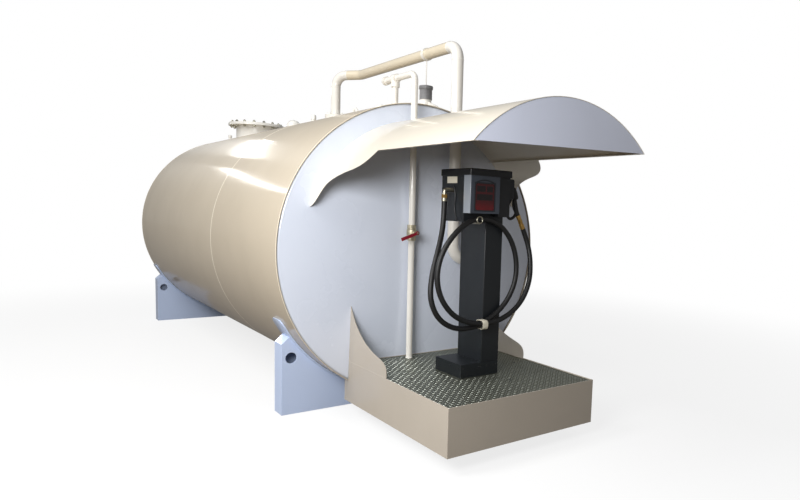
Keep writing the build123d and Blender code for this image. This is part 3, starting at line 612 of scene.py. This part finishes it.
def bead_outline(radius, along, width, height):
    """A low rounded ridge on a round surface, as points of an outline."""
    ridge = []
    for step in range(7):
        angle = math.pi * step / 6
        ridge.append((radius + height * math.sin(angle), along - math.cos(angle) * width / 2))
    return ridge


def course(name, start, end, node):
    """One rolled course as a closed outline, with both outer corners broken."""
    skin = SKIN_RADIUS
    outline = [
        (skin - 0.0045, start), (skin - 0.0008, start), (skin, start + 0.0008),
        (skin, end - 0.0008), (skin - 0.0008, end), (skin - 0.0045, end),
    ]
    bm = bmesh.new()
    spin_outline(bm, outline, (0, RIM, AXIS_Z), (0, 1, 0), 180, closed=True)
    return make_piece(name, bm, [node])


def end_outline(radius, dish, knuckle, flange, plate=0.006):
    """Crown, knuckle and flange of a dished end, outside and then back along its inside."""
    crown = (radius**2 + dish**2) / (2 * dish)
    centre_t = crown - dish
    knuckle_r = radius - knuckle
    knuckle_t = centre_t - math.sqrt((crown - knuckle) ** 2 - knuckle_r**2)
    tangent = math.asin(knuckle_r / (crown - knuckle))
    outside = []
    for step in range(25):
        angle = tangent * step / 24
        outside.append((crown * math.sin(angle), centre_t - crown * math.cos(angle)))
    for step in range(1, 9):
        angle = tangent + (math.pi / 2 - tangent) * step / 8
        outside.append((knuckle_r + knuckle * math.sin(angle), knuckle_t - knuckle * math.cos(angle)))
    outside.append((radius, flange))
    inside_line = [(max(r - plate, 0.0), t + plate) for r, t in outside[::-1] if r > plate]
    return outside + [(radius - plate, flange)] + inside_line[1:] + [(0, plate - dish)]


shells = [
    course("shell_front", 0, SEAM_Y, "outer_shell_front_course"),
    course("shell_rear", SEAM_Y, SHELL_LENGTH, "outer_shell_rear_course"),
]
end_line = end_outline(1.1247, 0.062, 0.024, 0.060)
ends = []
for name, at, axis in (("front", 0.007, 1), ("rear", SHELL_LENGTH - 0.007, -1)):
    bm = bmesh.new()
    spin_outline(bm, end_line, (0, RIM + at, AXIS_Z), (0, axis, 0), 180)
    ends.append(make_piece("end_" + name, bm, ["outer_end_" + name]))
bm = bmesh.new()
for along, width in ((SEAM_Y, 0.016), (0.004, 0.007), (SHELL_LENGTH - 0.004, 0.007)):
    bead = bead_outline(SKIN_RADIUS, along, width, BEAD)
    spin_outline(bm, bead, (0, RIM, AXIS_Z), (0, 1, 0), 180)
seams = make_piece("shell_seams", bm, crease=60)
for piece in shells:
    piece.data.materials.append(shell_paint)
# painted highlight: paler paint on the seam and rim beads
seams.data.materials.append(seam_highlight_paint)
for piece in ends:
    piece.data.materials.append(end_paint)
print("shell pieces:", len(shells) + len(ends) + 1)

# %% [markdown]
# ## Manhole, vent and sockets
#
# The cover is held by sixteen bolts on one circle. The vent is a short tube under a loose
# domed cap with a rain gap, and the sockets are closed with turned plugs. A bolt is the same
# few cones every time: washer, hexagon head, and the stud's end.

# %% Fittings on top
def cone(bm, place, axis, low, high, radius, top=None, sides=24, turn=0.0):
    """A straight or tapered disc that stands on a point along an axis."""
    square = Vector(axis).to_track_quat("Z", "Y").to_matrix().to_4x4()
    middle = Matrix.Translation((0, 0, (low + high) / 2))
    where = Matrix.Translation(place) @ square @ Matrix.Rotation(turn, 4, "Z") @ middle
    bmesh.ops.create_cone(
        bm, cap_ends=True, segments=sides, radius1=radius,
        radius2=radius if top is None else top, depth=high - low, matrix=where,
    )


def bolt(bm, place, axis, width, turn=0.0):
    """A hexagon head on a washer, with the stud's end over it."""
    cone(bm, place, axis, 0, 0.12 * width, 0.68 * width, sides=14)
    cone(bm, place, axis, 0.12 * width, 0.55 * width, 0.577 * width, sides=6, turn=turn)
    cone(bm, place, axis, 0.55 * width, 0.66 * width, 0.577 * width, 0.46 * width, sides=6, turn=turn)
    cone(bm, place, axis, 0.66 * width, 0.92 * width, 0.3 * width, 0.25 * width, sides=10)


def bolt_circle(bm, centre, radius, count, axis, width, start=0.0):
    """Bolts round a circle that lies flat, each turned a little differently."""
    for number in range(count):
        angle = start + 2 * math.pi * number / count
        place = Vector(centre) + Vector((radius * math.cos(angle), radius * math.sin(angle), 0))
        bolt(bm, place, axis, width, random.uniform(0, 1))


MANHOLE = (0, RIM + 4.045)
COVER_Z = (2.500, 2.516)
COVER_RADIUS = 0.320
COVER_BOLTS = (0.285, 16)
bm = bmesh.new()
spin_outline(
    bm,
    [
        (0, COVER_Z[0]), (COVER_RADIUS - 0.001, COVER_Z[0]), (COVER_RADIUS, COVER_Z[0] + 0.001),
        (COVER_RADIUS, COVER_Z[1] - 0.002), (COVER_RADIUS - 0.002, COVER_Z[1]), (0, COVER_Z[1]),
    ],
    (*MANHOLE, 0), (0, 0, 1), 96,
)
cover = make_piece("manhole_lid", bm, ["manhole_cover"])
cover.data.materials.append(fitting_paint)
bm = bmesh.new()
bolt_circle(bm, (*MANHOLE, COVER_Z[1]), *COVER_BOLTS, (0, 0, 1), 0.028)
bolt_circle(bm, (*MANHOLE, COVER_Z[0] - 0.016), *COVER_BOLTS, (0, 0, -1), 0.028)
lid_bolts = make_piece("manhole_bolts", bm)
lid_bolts.data.materials.append(plated_steel)

VENT_Y = RIM + 2.770
SHELL_TOP = 2.356
vent_line = [
    (0.060, -0.030), (0.060, 0.020), (0.067, 0.024), (0.067, 0.030), (0.074, 0.030), (0.075, 0.032),
    (0.075, 0.040),
]
for step in range(9):
    angle = math.pi / 2 * step / 8
    vent_line.append((0.075 * math.cos(angle), 0.0405 + 0.0712 * math.sin(angle)))
bm = bmesh.new()
spin_outline(bm, vent_line, (0, VENT_Y, SHELL_TOP), (0, 0, 1), 48)
vent_cap = make_piece("vent_cap", bm, ["emergency_vent"])


def plug(bm, x, y, foot, radius, height, domed=False):
    """A socket weld, its stem, and a turned cap with a broken edge."""
    line = [(radius + 0.006, -0.012), (radius + 0.004, 0.004), (radius - 0.002, 0.009)]
    if domed:
        line += [(radius - 0.003, height * 0.55), (radius, height * 0.56), (radius, height - radius * 0.8)]
        for step in range(1, 7):
            angle = math.pi / 2 * step / 6
            line.append((radius * math.cos(angle), height - radius * 0.8 * (1 - math.sin(angle))))
    else:
        line += [
            (radius - 0.004, height - 0.030), (radius, height - 0.029), (radius, height - 0.006),
            (radius - 0.006, height), (radius * 0.45, height), (radius * 0.4, height - 0.004),
            (0, height - 0.004),
        ]
    spin_outline(bm, line, (x, y, foot), (0, 0, 1), 40)


bm = bmesh.new()
plug(bm, 0, RIM + 2.203, SHELL_TOP, 0.026, 0.122, domed=True)
plug(bm, 0, RIM + 0.730, SHELL_TOP, 0.035, 0.066)
plug(bm, -0.150, RIM + 4.640, SHELL_TOP - 0.010, 0.023, 0.066)
plugs = make_piece("socket_plugs", bm, ["capped_sockets"])
for piece in (vent_cap, plugs):
    piece.data.materials.append(fitting_paint)
print("fittings on top: 4 pieces and 32 bolts")

# %% [markdown]
# ## Pipework details
#
# A shop-made pipe shows a weld ring at each end of a bend, and its flanges are drawn
# together by studs with nuts on both sides. The gauge head is a turned plastic body with
# ribs under a wider cap, and two small bolts close the clamp on the fill run.

# %% Welds, flange bolts, clamp and gauge
FILL_RADIUS = 0.0445
RUN_X = 0.215
RUN_Z = 2.822
RISER = (0.060, RIM + 1.795)
DROP_Y = RIM - 0.113
ELBOW_Z = 1.165
SUCTION = (-0.155, RIM - 0.107)
FLANGE_BOLTS = (0.080, 8)
BEND = 0.115


def ring_weld(bm, place, axis, radius, width=0.009, height=0.0022):
    """A bead round a pipe."""
    spin_outline(bm, bead_outline(radius - 0.0002, 0, width, height), place, axis, 40)


bm = bmesh.new()
jog = Vector((RUN_X - RISER[0], 1.560 - 1.795, 0)).normalized()
ring_weld(bm, (*RISER, RUN_Z - BEND), (0, 0, 1), FILL_RADIUS)
ring_weld(bm, Vector((*RISER, RUN_Z)) + jog * BEND, jog, FILL_RADIUS)
ring_weld(bm, (RUN_X, DROP_Y + BEND, RUN_Z), (0, 1, 0), FILL_RADIUS)
ring_weld(bm, (RUN_X, DROP_Y, RUN_Z - BEND), (0, 0, 1), FILL_RADIUS)
ring_weld(bm, (RUN_X, DROP_Y, ELBOW_Z + BEND), (0, 0, 1), FILL_RADIUS)
ring_weld(bm, (RUN_X + BEND, DROP_Y, ELBOW_Z), (1, 0, 0), FILL_RADIUS)
ring_weld(bm, (*RISER, 2.4404), (0, 0, 1), FILL_RADIUS, 0.016, 0.005)
ring_weld(bm, (*SUCTION, 0.413), (0, 0, 1), 0.02415, 0.010, 0.004)
pipe_welds = make_piece("pipe_welds", bm, crease=60)
pipe_welds.data.materials.append(pipe_paint)

bm = bmesh.new()
bolt_circle(bm, (*RISER, 2.4404), *FLANGE_BOLTS, (0, 0, 1), 0.024, math.pi / 8)
bolt_circle(bm, (*RISER, 2.3924), *FLANGE_BOLTS, (0, 0, -1), 0.024, math.pi / 8)
for side in (-1, 1):
    bolt(bm, (RUN_X + side * 0.0440, RIM + 0.350, RUN_Z + 0.0215), (side * 0.9, 0, 0.45), 0.013)
stud_nuts = make_piece("flange_bolts", bm)
stud_nuts.data.materials.append(fitting_paint)

gauge_line = [(0, 0), (0.050, 0), (0.052, 0.002)]
for rib in range(6):
    foot = 0.012 + rib * 0.012
    gauge_line += [(0.052, foot), (0.0505, foot + 0.0015), (0.0505, foot + 0.0035), (0.052, foot + 0.005)]
gauge_line += [
    (0.052, 0.085), (0.0575, 0.086), (0.058, 0.088), (0.058, 0.108), (0.055, 0.112), (0.030, 0.112),
    (0.028, 0.110), (0, 0.110),
]
bm = bmesh.new()
spin_outline(bm, gauge_line, (RUN_X, RIM + 0.350, 2.455), (0, 0, 1), 56)
gauge = make_piece("gauge_cap", bm, ["gauge_head"], crease=25)
gauge.data.materials.append(gauge_grey)

cap_line = [
    (0, 0), (0.0585, 0), (0.059, 0.0015), (0.059, 0.010), (0.056, 0.012), (0.056, 0.018), (0.059, 0.020),
    (0.059, 0.040), (0.056, 0.046), (0.050, 0.048), (0.020, 0.048), (0.018, 0.044), (0, 0.044),
]
bm = bmesh.new()
spin_outline(bm, cap_line, (0.430, DROP_Y, ELBOW_Z), (1, 0, 0), 56)
fill_cap = make_piece("fill_coupling_cap", bm, ["fill_cap"])
fill_cap.data.materials.append(cast_brass)
print("pipe details: 5 pieces")

# %% [markdown]
# ## Ball valve
#
# The valve is a cast body between two hexagon ends. The stem leaves it through a gland nut,
# and a plated nut holds the lever. The nut turns with the lever.

# %% Valve
VALVE = Vector((*SUCTION, 1.373))
body_line = [
    (0.0242, -0.059), (0.031, -0.059), (0.031, -0.030), (0.033, -0.028), (0.036, -0.020), (0.037, 0),
    (0.036, 0.020), (0.033, 0.028), (0.031, 0.030), (0.031, 0.059), (0.0242, 0.059),
]
bm = bmesh.new()
spin_outline(bm, body_line, VALVE, (0, 0, 1), 48)
for low, high in ((-0.057, -0.034), (0.034, 0.057)):
    cone(bm, VALVE, (0, 0, 1), low, high, 0.0329, sides=8, turn=0.2)
gland_line = [
    (0, 0.020), (0.0150, 0.020), (0.0150, 0.046), (0.0125, 0.048), (0.0125, 0.060), (0.0070, 0.061),
    (0.0070, 0.094), (0.0060, 0.095), (0, 0.095),
]
spin_outline(bm, gland_line, VALVE, (0, -1, 0), 32)
valve = make_piece("ball_valve", bm, ["valve_body"])
valve.data.materials.append(cast_brass)
bm = bmesh.new()
cone(bm, VALVE + Vector((0, -0.0911, 0)), (0, -1, 0), 0, 0.0035, 0.0100, 0.0092, 6)
spin_outline(
    bm, [(0.0074, 0.0865), (0.013, 0.0862), (0.013, 0.0868)], VALVE, (0, -1, 0), 24
)
lever_nut = make_piece("lever_nut", bm, body="valve_lever")
lever_nut.data.materials.append(plated_steel)
print("valve made")

# %% [markdown]
# ## Tread plate
#
# Checker plate is rolled with low oval lugs that lie in alternate directions. Boots keep
# their tops bright while grime stays between them. The lugs are left out under the
# dispenser's base. Four small dark plugs close the plate's drain holes.

# %% Tread lugs and drain plugs
PLATE_Z = 0.411
PITCH = 0.027
CROWN_STANDS = 0.055
CROWN_RADIUS = 10.232
DRAINS = ((0.107, -1.027), (-0.118, -0.250), (-0.45, -0.65), (0.45, -0.65))


def crown_front(x, z):
    """How far the end plate's crown stands out at a point of the tank's front."""
    radius = math.hypot(x, z - AXIS_Z)
    return -CROWN_STANDS + radius**2 / (2 * CROWN_RADIUS)


bm = bmesh.new()
lugs = 0
for row in range(int(1.31 / PITCH)):
    for column in range(int(1.17 / PITCH)):
        x = -0.582 + column * PITCH
        y = -1.322 + row * PITCH
        on_base = -0.185 < x < 0.169 and -0.846 < y < -0.486
        near_pipe = math.hypot(x + 0.155, y + 0.107) < 0.045
        if on_base or near_pipe or y > crown_front(x, PLATE_Z) - 0.022:
            continue
        turn = math.pi / 4 if (row + column) % 2 else -math.pi / 4
        where = Matrix.Translation((x, RIM + y, PLATE_Z + 0.0006)) @ Matrix.Rotation(turn, 4, "Z")
        where = where @ Matrix.Diagonal((0.0125, 0.0036, 1, 1))
        bmesh.ops.create_cone(
            bm, cap_ends=True, segments=8, radius1=1, radius2=0.6, depth=0.0016, matrix=where
        )
        lugs += 1
tread_lugs = make_piece("tread_lugs", bm, crease=20)
tread_lugs.data.materials.append(tread_worn)
bm = bmesh.new()
for x, y in DRAINS:
    cone(bm, (x, RIM + y, PLATE_Z), (0, 0, 1), 0.0001, 0.0022, 0.009, 0.0085, 20)
drains = make_piece("drain_plugs", bm)
drains.data.materials.append(screw_black)
print("tread lugs:", lugs)

# %% [markdown]
# ## Weld lines
#
# The wings stand on the skirts and are welded along their whole foot. The saddles' webs are
# welded to the wear plates, and the tread lies in a seam inside the skirts. Each seam is a
# thin ridge, painted over, that catches a line of light.

# %% Weld lines
SADDLES = (0.258, 4.746)
LUG_Y = 1.230
LUG_REACH = 0.084


def ridge(bm, points, radius):
    """A thin half-buried bead through points, with six sides."""
    for start, end in zip(points, points[1:]):
        run = Vector(end) - Vector(start)
        cone(bm, start, run, 0, run.length, radius, sides=6)


def on_shell_line(y, radius, low, high, side, steps=14):
    """Points up the shell's flank at one distance from the rim, between two heights."""
    points = []
    for step in range(steps + 1):
        z = low + (high - low) * step / steps
        points.append((side * math.sqrt(radius**2 - (AXIS_Z - z) ** 2), RIM + y, z))
    return points


bm = bmesh.new()
for side in (-1, 1):
    ridge(bm, [(side * 0.5992, RIM - 0.566, 0.416), (side * 0.5992, RIM + 0.020, 0.416)], 0.0022)
    ridge(bm, [(side * 0.5945, RIM - 1.330, PLATE_Z), (side * 0.5945, RIM - 0.030, PLATE_Z)], 0.0025)
ridge(bm, [(-0.594, RIM - 1.3345, PLATE_Z), (0.594, RIM - 1.3345, PLATE_Z)], 0.0025)
foot_line = []
for step in range(21):
    x = -0.59 + 1.18 * step / 20
    foot_line.append((x, RIM + crown_front(x, PLATE_Z) - 0.0005, PLATE_Z))
ridge(bm, foot_line, 0.004)
step_welds = make_piece("step_welds", bm, crease=60)
step_welds.data.materials.append(step_paint)
bm = bmesh.new()
for offset in SADDLES:
    for web_y in (offset - 0.0005, offset + 0.1455):
        for side in (-1, 1):
            ridge(bm, on_shell_line(web_y, 1.1412, 0.14, 0.583, side), 0.003)
for side in (-1, 1):
    foot = [(side * 0.008, RIM + LUG_Y + reach, SHELL_TOP - 0.001) for reach in (-LUG_REACH, LUG_REACH)]
    ridge(bm, foot, 0.003)
saddle_welds = make_piece("saddle_welds", bm, crease=60)
saddle_welds.data.materials.append(saddle_paint)
print("weld lines: 2 pieces")

# %% [markdown]
# ## Dispenser
#
# Folded panels are held by dark screws with rounded heads. The cabinet's left face carries a
# blank rating label, and a dark curved strip laid on it as the painted shadow of the hose.

# %% Screws, label and painted hose shadow
def screw(bm, place, axis, radius=0.0048):
    """A pan-head screw: a low dome with a recess in its top."""
    line = [
        (radius, -0.0004), (radius, 0.0008), (radius * 0.82, 0.0020), (radius * 0.45, 0.0026),
        (radius * 0.35, 0.0012), (0, 0.0012),
    ]
    spin_outline(bm, line, place, axis, 14)


bm = bmesh.new()
PEDESTAL_SCREWS = (
    (-0.806, 0.603), (-0.810, 1.408), (-0.810, 1.007),
    (-0.540, 1.002), (-0.540, 0.603), (-0.540, 1.408),
)
for y, z in PEDESTAL_SCREWS:
    screw(bm, (0.006, RIM + y, z), (-1, 0, 0))
    screw(bm, (0.156, RIM + y, z), (1, 0, 0))
for x in (-0.145, -0.012, 0.053, 0.135):
    screw(bm, (x, RIM - 0.827, 0.478), (0, -1, 0))
for y in (-0.800, -0.700, -0.540):
    screw(bm, (-0.166, RIM + y, 0.478), (-1, 0, 0))
for y, z in ((-0.790, 1.500), (-0.560, 1.500), (-0.560, 1.770), (-0.790, 1.770)):
    screw(bm, (-0.175, RIM + y, z), (-1, 0, 0))
screws = make_piece("panel_screws", bm)
screws.data.materials.append(screw_black)

bm = bmesh.new()
bmesh.ops.create_grid(bm, x_segments=1, y_segments=1, size=0.5, matrix=(
    Matrix.Translation((-0.1754, RIM - 0.671, 1.760))
    @ Matrix.Rotation(math.pi / 2, 4, "Y") @ Matrix.Diagonal((0.044, 0.120, 1, 1))
))
bmesh.ops.solidify(bm, geom=bm.faces[:], thickness=0.0004)
bmesh.ops.bevel(bm, geom=bm.verts[:], offset=0.002, segments=2, affect="VERTICES")
label = make_piece("blank_label", bm)
label.data.materials.append(clip_plastic)

# painted shadow: a dark rod along the left face, where the hose casts its shadow
hose_shadow_line = [(-0.1765, -0.694, 1.720), (-0.1765, -0.708, 1.690), (-0.1765, -0.716, 1.650),
              (-0.1765, -0.712, 1.610), (-0.1765, -0.706, 1.580), (-0.1765, -0.716, 1.530),
              (-0.1765, -0.742, 1.490)]
hose_shadow_strip = smooth_line("hose_shadow_strip", [(x, RIM + y, z) for x, y, z in hose_shadow_line], 0.007)
hose_shadow_strip.data.materials.append(cover_plastic)
print("dispenser trim: 3 pieces")

# %% [markdown]
# ## Fuel nozzle
#
# The nozzle hangs by its spout. Its cast body is dipped in black vinyl, so every edge is
# round. The handle tube takes the hose from below, and a thick guard loops round the lever.
# Tubes are NURBS lines with a radius, and the body is an outline turned round its own axis.

# %% Nozzle
NOZZLE_Y = RIM - 0.801
SPOUT = Vector((0.217, NOZZLE_Y, 1.692))


def beside_spout(points):
    """Points as distance out from the holster and height over the spout."""
    return [(SPOUT.x + out, SPOUT.y, SPOUT.z + up) for out, up in points]


swivel_top = hose_end + hose_lean * (SWIVEL_LENGTH + 0.0004)
handle_points = [
    tuple(swivel_top),
    tuple(swivel_top + hose_lean * 0.030),
    *beside_spout([(0.060, -0.070), (0.048, -0.030)]),
]
tubes = [
    smooth_line("nozzle_handle", handle_points, 0.0150),
    smooth_line("nozzle_guard", beside_spout([
        (0.030, -0.028), (0.012, -0.056), (-0.009, -0.092), (-0.011, -0.130), (-0.008, -0.164),
        (0.008, -0.180), (0.026, -0.184), (0.054, -0.168), (0.068, -0.146), (0.076, -0.128),
    ]), 0.0105),
    smooth_line("nozzle_lever", beside_spout([
        (0.042, -0.040), (0.038, -0.060), (0.040, -0.096), (0.052, -0.124), (0.066, -0.144),
    ]), 0.0055),
]
body_axis = Vector((-math.sin(math.radians(24)), 0, math.cos(math.radians(24))))
body_middle = SPOUT + Vector((0.044, 0, -0.004))
nozzle_line = [
    (0, -0.048), (0.012, -0.047), (0.019, -0.044), (0.0225, -0.038), (0.0245, -0.026), (0.0258, -0.006),
    (0.0260, 0.012), (0.0252, 0.024), (0.0232, 0.034), (0.0190, 0.042), (0.0120, 0.0465), (0, 0.048),
]
bm = bmesh.new()
spin_outline(bm, nozzle_line, body_middle, body_axis, 40)
nozzle_body = make_piece("nozzle_body", bm, ["fuel_nozzle"], crease=50)
bm = bmesh.new()
spout_line = [
    (0, -0.046), (0.0125, -0.046), (0.013, -0.045), (0.013, 0.004), (0.0165, 0.006), (0.0165, 0.014),
    (0.0145, 0.016), (0.0145, 0.034), (0, 0.034),
]
spin_outline(bm, spout_line, SPOUT, (1, 0, 0), 32)
spout = make_piece("nozzle_spout", bm, crease=40)
for piece in tubes:
    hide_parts("fuel_nozzle")
for piece in tubes + [nozzle_body, spout]:
    piece.data.materials.append(nozzle_black)
print("nozzle pieces:", len(tubes) + 2)

# %% [markdown]
# ## Hose fitting and hose ring
#
# The hose leaves the cabinet through a plated elbow. It turns down into a brass hexagon and a
# ribbed crimp sleeve. The ring is a bent rod under the cabinet with a welded eye in front.

# %% Fitting and ring
EXIT = Vector(hose_points[0])
elbow = smooth_line("fitting_elbow", [
    (-0.1755, EXIT.y, EXIT.z + 0.078), (-0.215, EXIT.y, EXIT.z + 0.078), (-0.240, EXIT.y, EXIT.z + 0.077),
    (-0.2458, EXIT.y, EXIT.z + 0.070), (-0.246, EXIT.y, EXIT.z + 0.048), (-0.246, EXIT.y, EXIT.z + 0.030),
], 0.0140)
bm = bmesh.new()
spin_outline(bm, [
    (0.0125, 0.0712), (0.0185, 0.0710), (0.0195, 0.0690), (0.0195, 0.0660), (0.0150, 0.0650),
], (-0.246, EXIT.y, EXIT.z - 0.018), (0, 0, 1), 32)
spin_outline(bm, [
    (0.0125, 0.0004), (0.0190, 0.0004), (0.0205, 0.0020), (0.0205, 0.0080), (0.0195, 0.0090),
    (0.0195, 0.0110), (0.0205, 0.0120), (0.0205, 0.0180), (0.0195, 0.0190), (0.0195, 0.0210),
    (0.0185, 0.0225), (0.0125, 0.0230),
], (-0.246, EXIT.y, EXIT.z), (0, 0, 1), 32)
collar = make_piece("fitting_sleeve", bm, crease=40)
bm = bmesh.new()
cone(bm, (-0.246, EXIT.y, EXIT.z), (0, 0, 1), 0.0232, 0.0460, 0.0215, sides=6, turn=0.3)
hexagon_nut = make_piece("fitting_hexagon", bm)
hexagon_nut.data.materials.append(brass)
for piece in (elbow, collar):
    piece.data.materials.append(plated_steel)
for piece in (elbow, collar, hexagon_nut):
    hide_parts("hose_fitting")

RING_X = -0.110
RING_Y = RIM - 0.914
RING_Z = 1.475
bm = bmesh.new()
rod_line = [(0, -0.752), (0.0055, -0.752), (0.006, -0.753), (0.006, -0.9135), (0.005, -0.915), (0, -0.9155)]
spin_outline(bm, rod_line, (RING_X, RIM, RING_Z), (0, 1, 0), 20)
eye_centre = Vector((RING_X, RING_Y, RING_Z + 0.022))
eye_line = []
for step in range(14):
    angle = 2 * math.pi * step / 14
    eye_line.append((0.022 + 0.004 * math.cos(angle), 0.004 * math.sin(angle)))
spin_outline(bm, eye_line, eye_centre, (0, 1, 0), 40, closed=True)
ring = make_piece("ring_and_arm", bm, ["hose_ring"], crease=50)
ring.data.materials.append(plated_steel)
print("fitting and ring made")

# %% [markdown]

# %% [markdown]
# ## Floor, backdrop and lamps
#
# The object stands on a plain white floor under soft lamps. Through the Light Path node the
# floor and the sky look white to the camera and dimmer in reflections. They throw only soft
# light on the tank, so its colours keep their own depth. Two narrow lamps far behind the
# tank leave the bright streaks on its shell.

# %% Stage
def background(strength):
    """A sky that is white to the camera and has this strength for other rays."""
    world = bpy.data.worlds.new("studio")
    bpy.context.scene.world = world
    world.use_nodes = True
    tree = world.node_tree
    back = tree.nodes["Background"]
    back.inputs["Color"].default_value = (1, 1, 1, 1)
    ray = tree.nodes.new("ShaderNodeLightPath")
    seen = tree.nodes.new("ShaderNodeMath")
    seen.operation = "MAXIMUM"
    tree.links.new(ray.outputs["Is Camera Ray"], seen.inputs[0])
    tree.links.new(ray.outputs["Is Transmission Ray"], seen.inputs[1])
    level = tree.nodes.new("ShaderNodeMapRange")
    tree.links.new(seen.outputs[0], level.inputs["Value"])
    level.inputs["To Min"].default_value = strength
    level.inputs["To Max"].default_value = 1.0
    tree.links.new(level.outputs[0], back.inputs["Strength"])


def floor():
    """A wide floor: white and shadowed to the camera, warm and dark for other rays."""
    bm = bmesh.new()
    bmesh.ops.create_grid(bm, x_segments=1, y_segments=1, size=60)
    mesh = bpy.data.meshes.new("studio_floor")
    bm.to_mesh(mesh)
    bm.free()
    plane = bpy.data.objects.new("studio_floor", mesh)
    bpy.context.scene.collection.objects.link(plane)
    finish = Finish("studio_floor", (0.9, 0.9, 0.9), 0.7)
    ray = finish.node("LightPath", out="Is Camera Ray")
    finish.feed("Base Color", finish.mix(ray, (0.13, 0.105, 0.08), (0.93, 0.93, 0.93)))
    mirror = finish.node("LightPath", out="Is Glossy Ray")
    clear = finish.node("LightPath", out="Is Transmission Ray")
    seen = finish.step(ray + mirror * 0.3 + clear, 0.0, 1.0)
    point = finish.place()
    far = finish.step(finish.node("VectorMath", {"operation": "LENGTH"}, {0: point}, out="Value"), 3.5, 8.0)
    white = finish.node("Emission", None, {"Color": (1, 1, 1), "Strength": 1.0})
    plain = Signal(finish, finish.shader.outputs[0])
    share = seen * (0.8 + far * 0.2)
    shown = finish.node("MixShader", None, {0: share, 1: plain, 2: white})
    output = finish.tree.nodes["Material Output"]
    finish.tree.links.new(shown.socket, output.inputs["Surface"])
    mesh.materials.append(finish.material)
    return plane


def softbox(name, place, aim, size, power):
    """A rectangular area lamp that faces a point and stays out of the camera's sight."""
    lamp = bpy.data.lights.new(name, "AREA")
    lamp.shape = "RECTANGLE"
    lamp.size, lamp.size_y = size
    lamp.energy = power
    holder = bpy.data.objects.new(name, lamp)
    holder.location = place
    holder.rotation_mode = "QUATERNION"
    holder.rotation_quaternion = (Vector(aim) - Vector(place)).to_track_quat("-Z", "Y")
    holder.visible_camera = False
    bpy.context.scene.collection.objects.link(holder)


background(0.31)
floor()
softbox("key", (-5.2, RIM + 0.2, 6.6), (0, RIM + 1.8, 1.6), (2.0, 5.0), 440)
softbox("front", (-3.1, RIM - 2.6, 2.3), (-0.7, RIM, 1.0), (1.6, 1.2), 122)
softbox("windows", (0.0, RIM + 11.5, 5.0), (-0.6, RIM + 1.5, 2.1), (1.6, 0.3), 42)
softbox("low window", (-2.6, RIM + 10.5, 4.2), (-1.0, RIM + 2.5, 1.6), (2.2, 0.12), 16)
bpy.context.scene.view_settings.view_transform = "Standard"
print("stage ready")
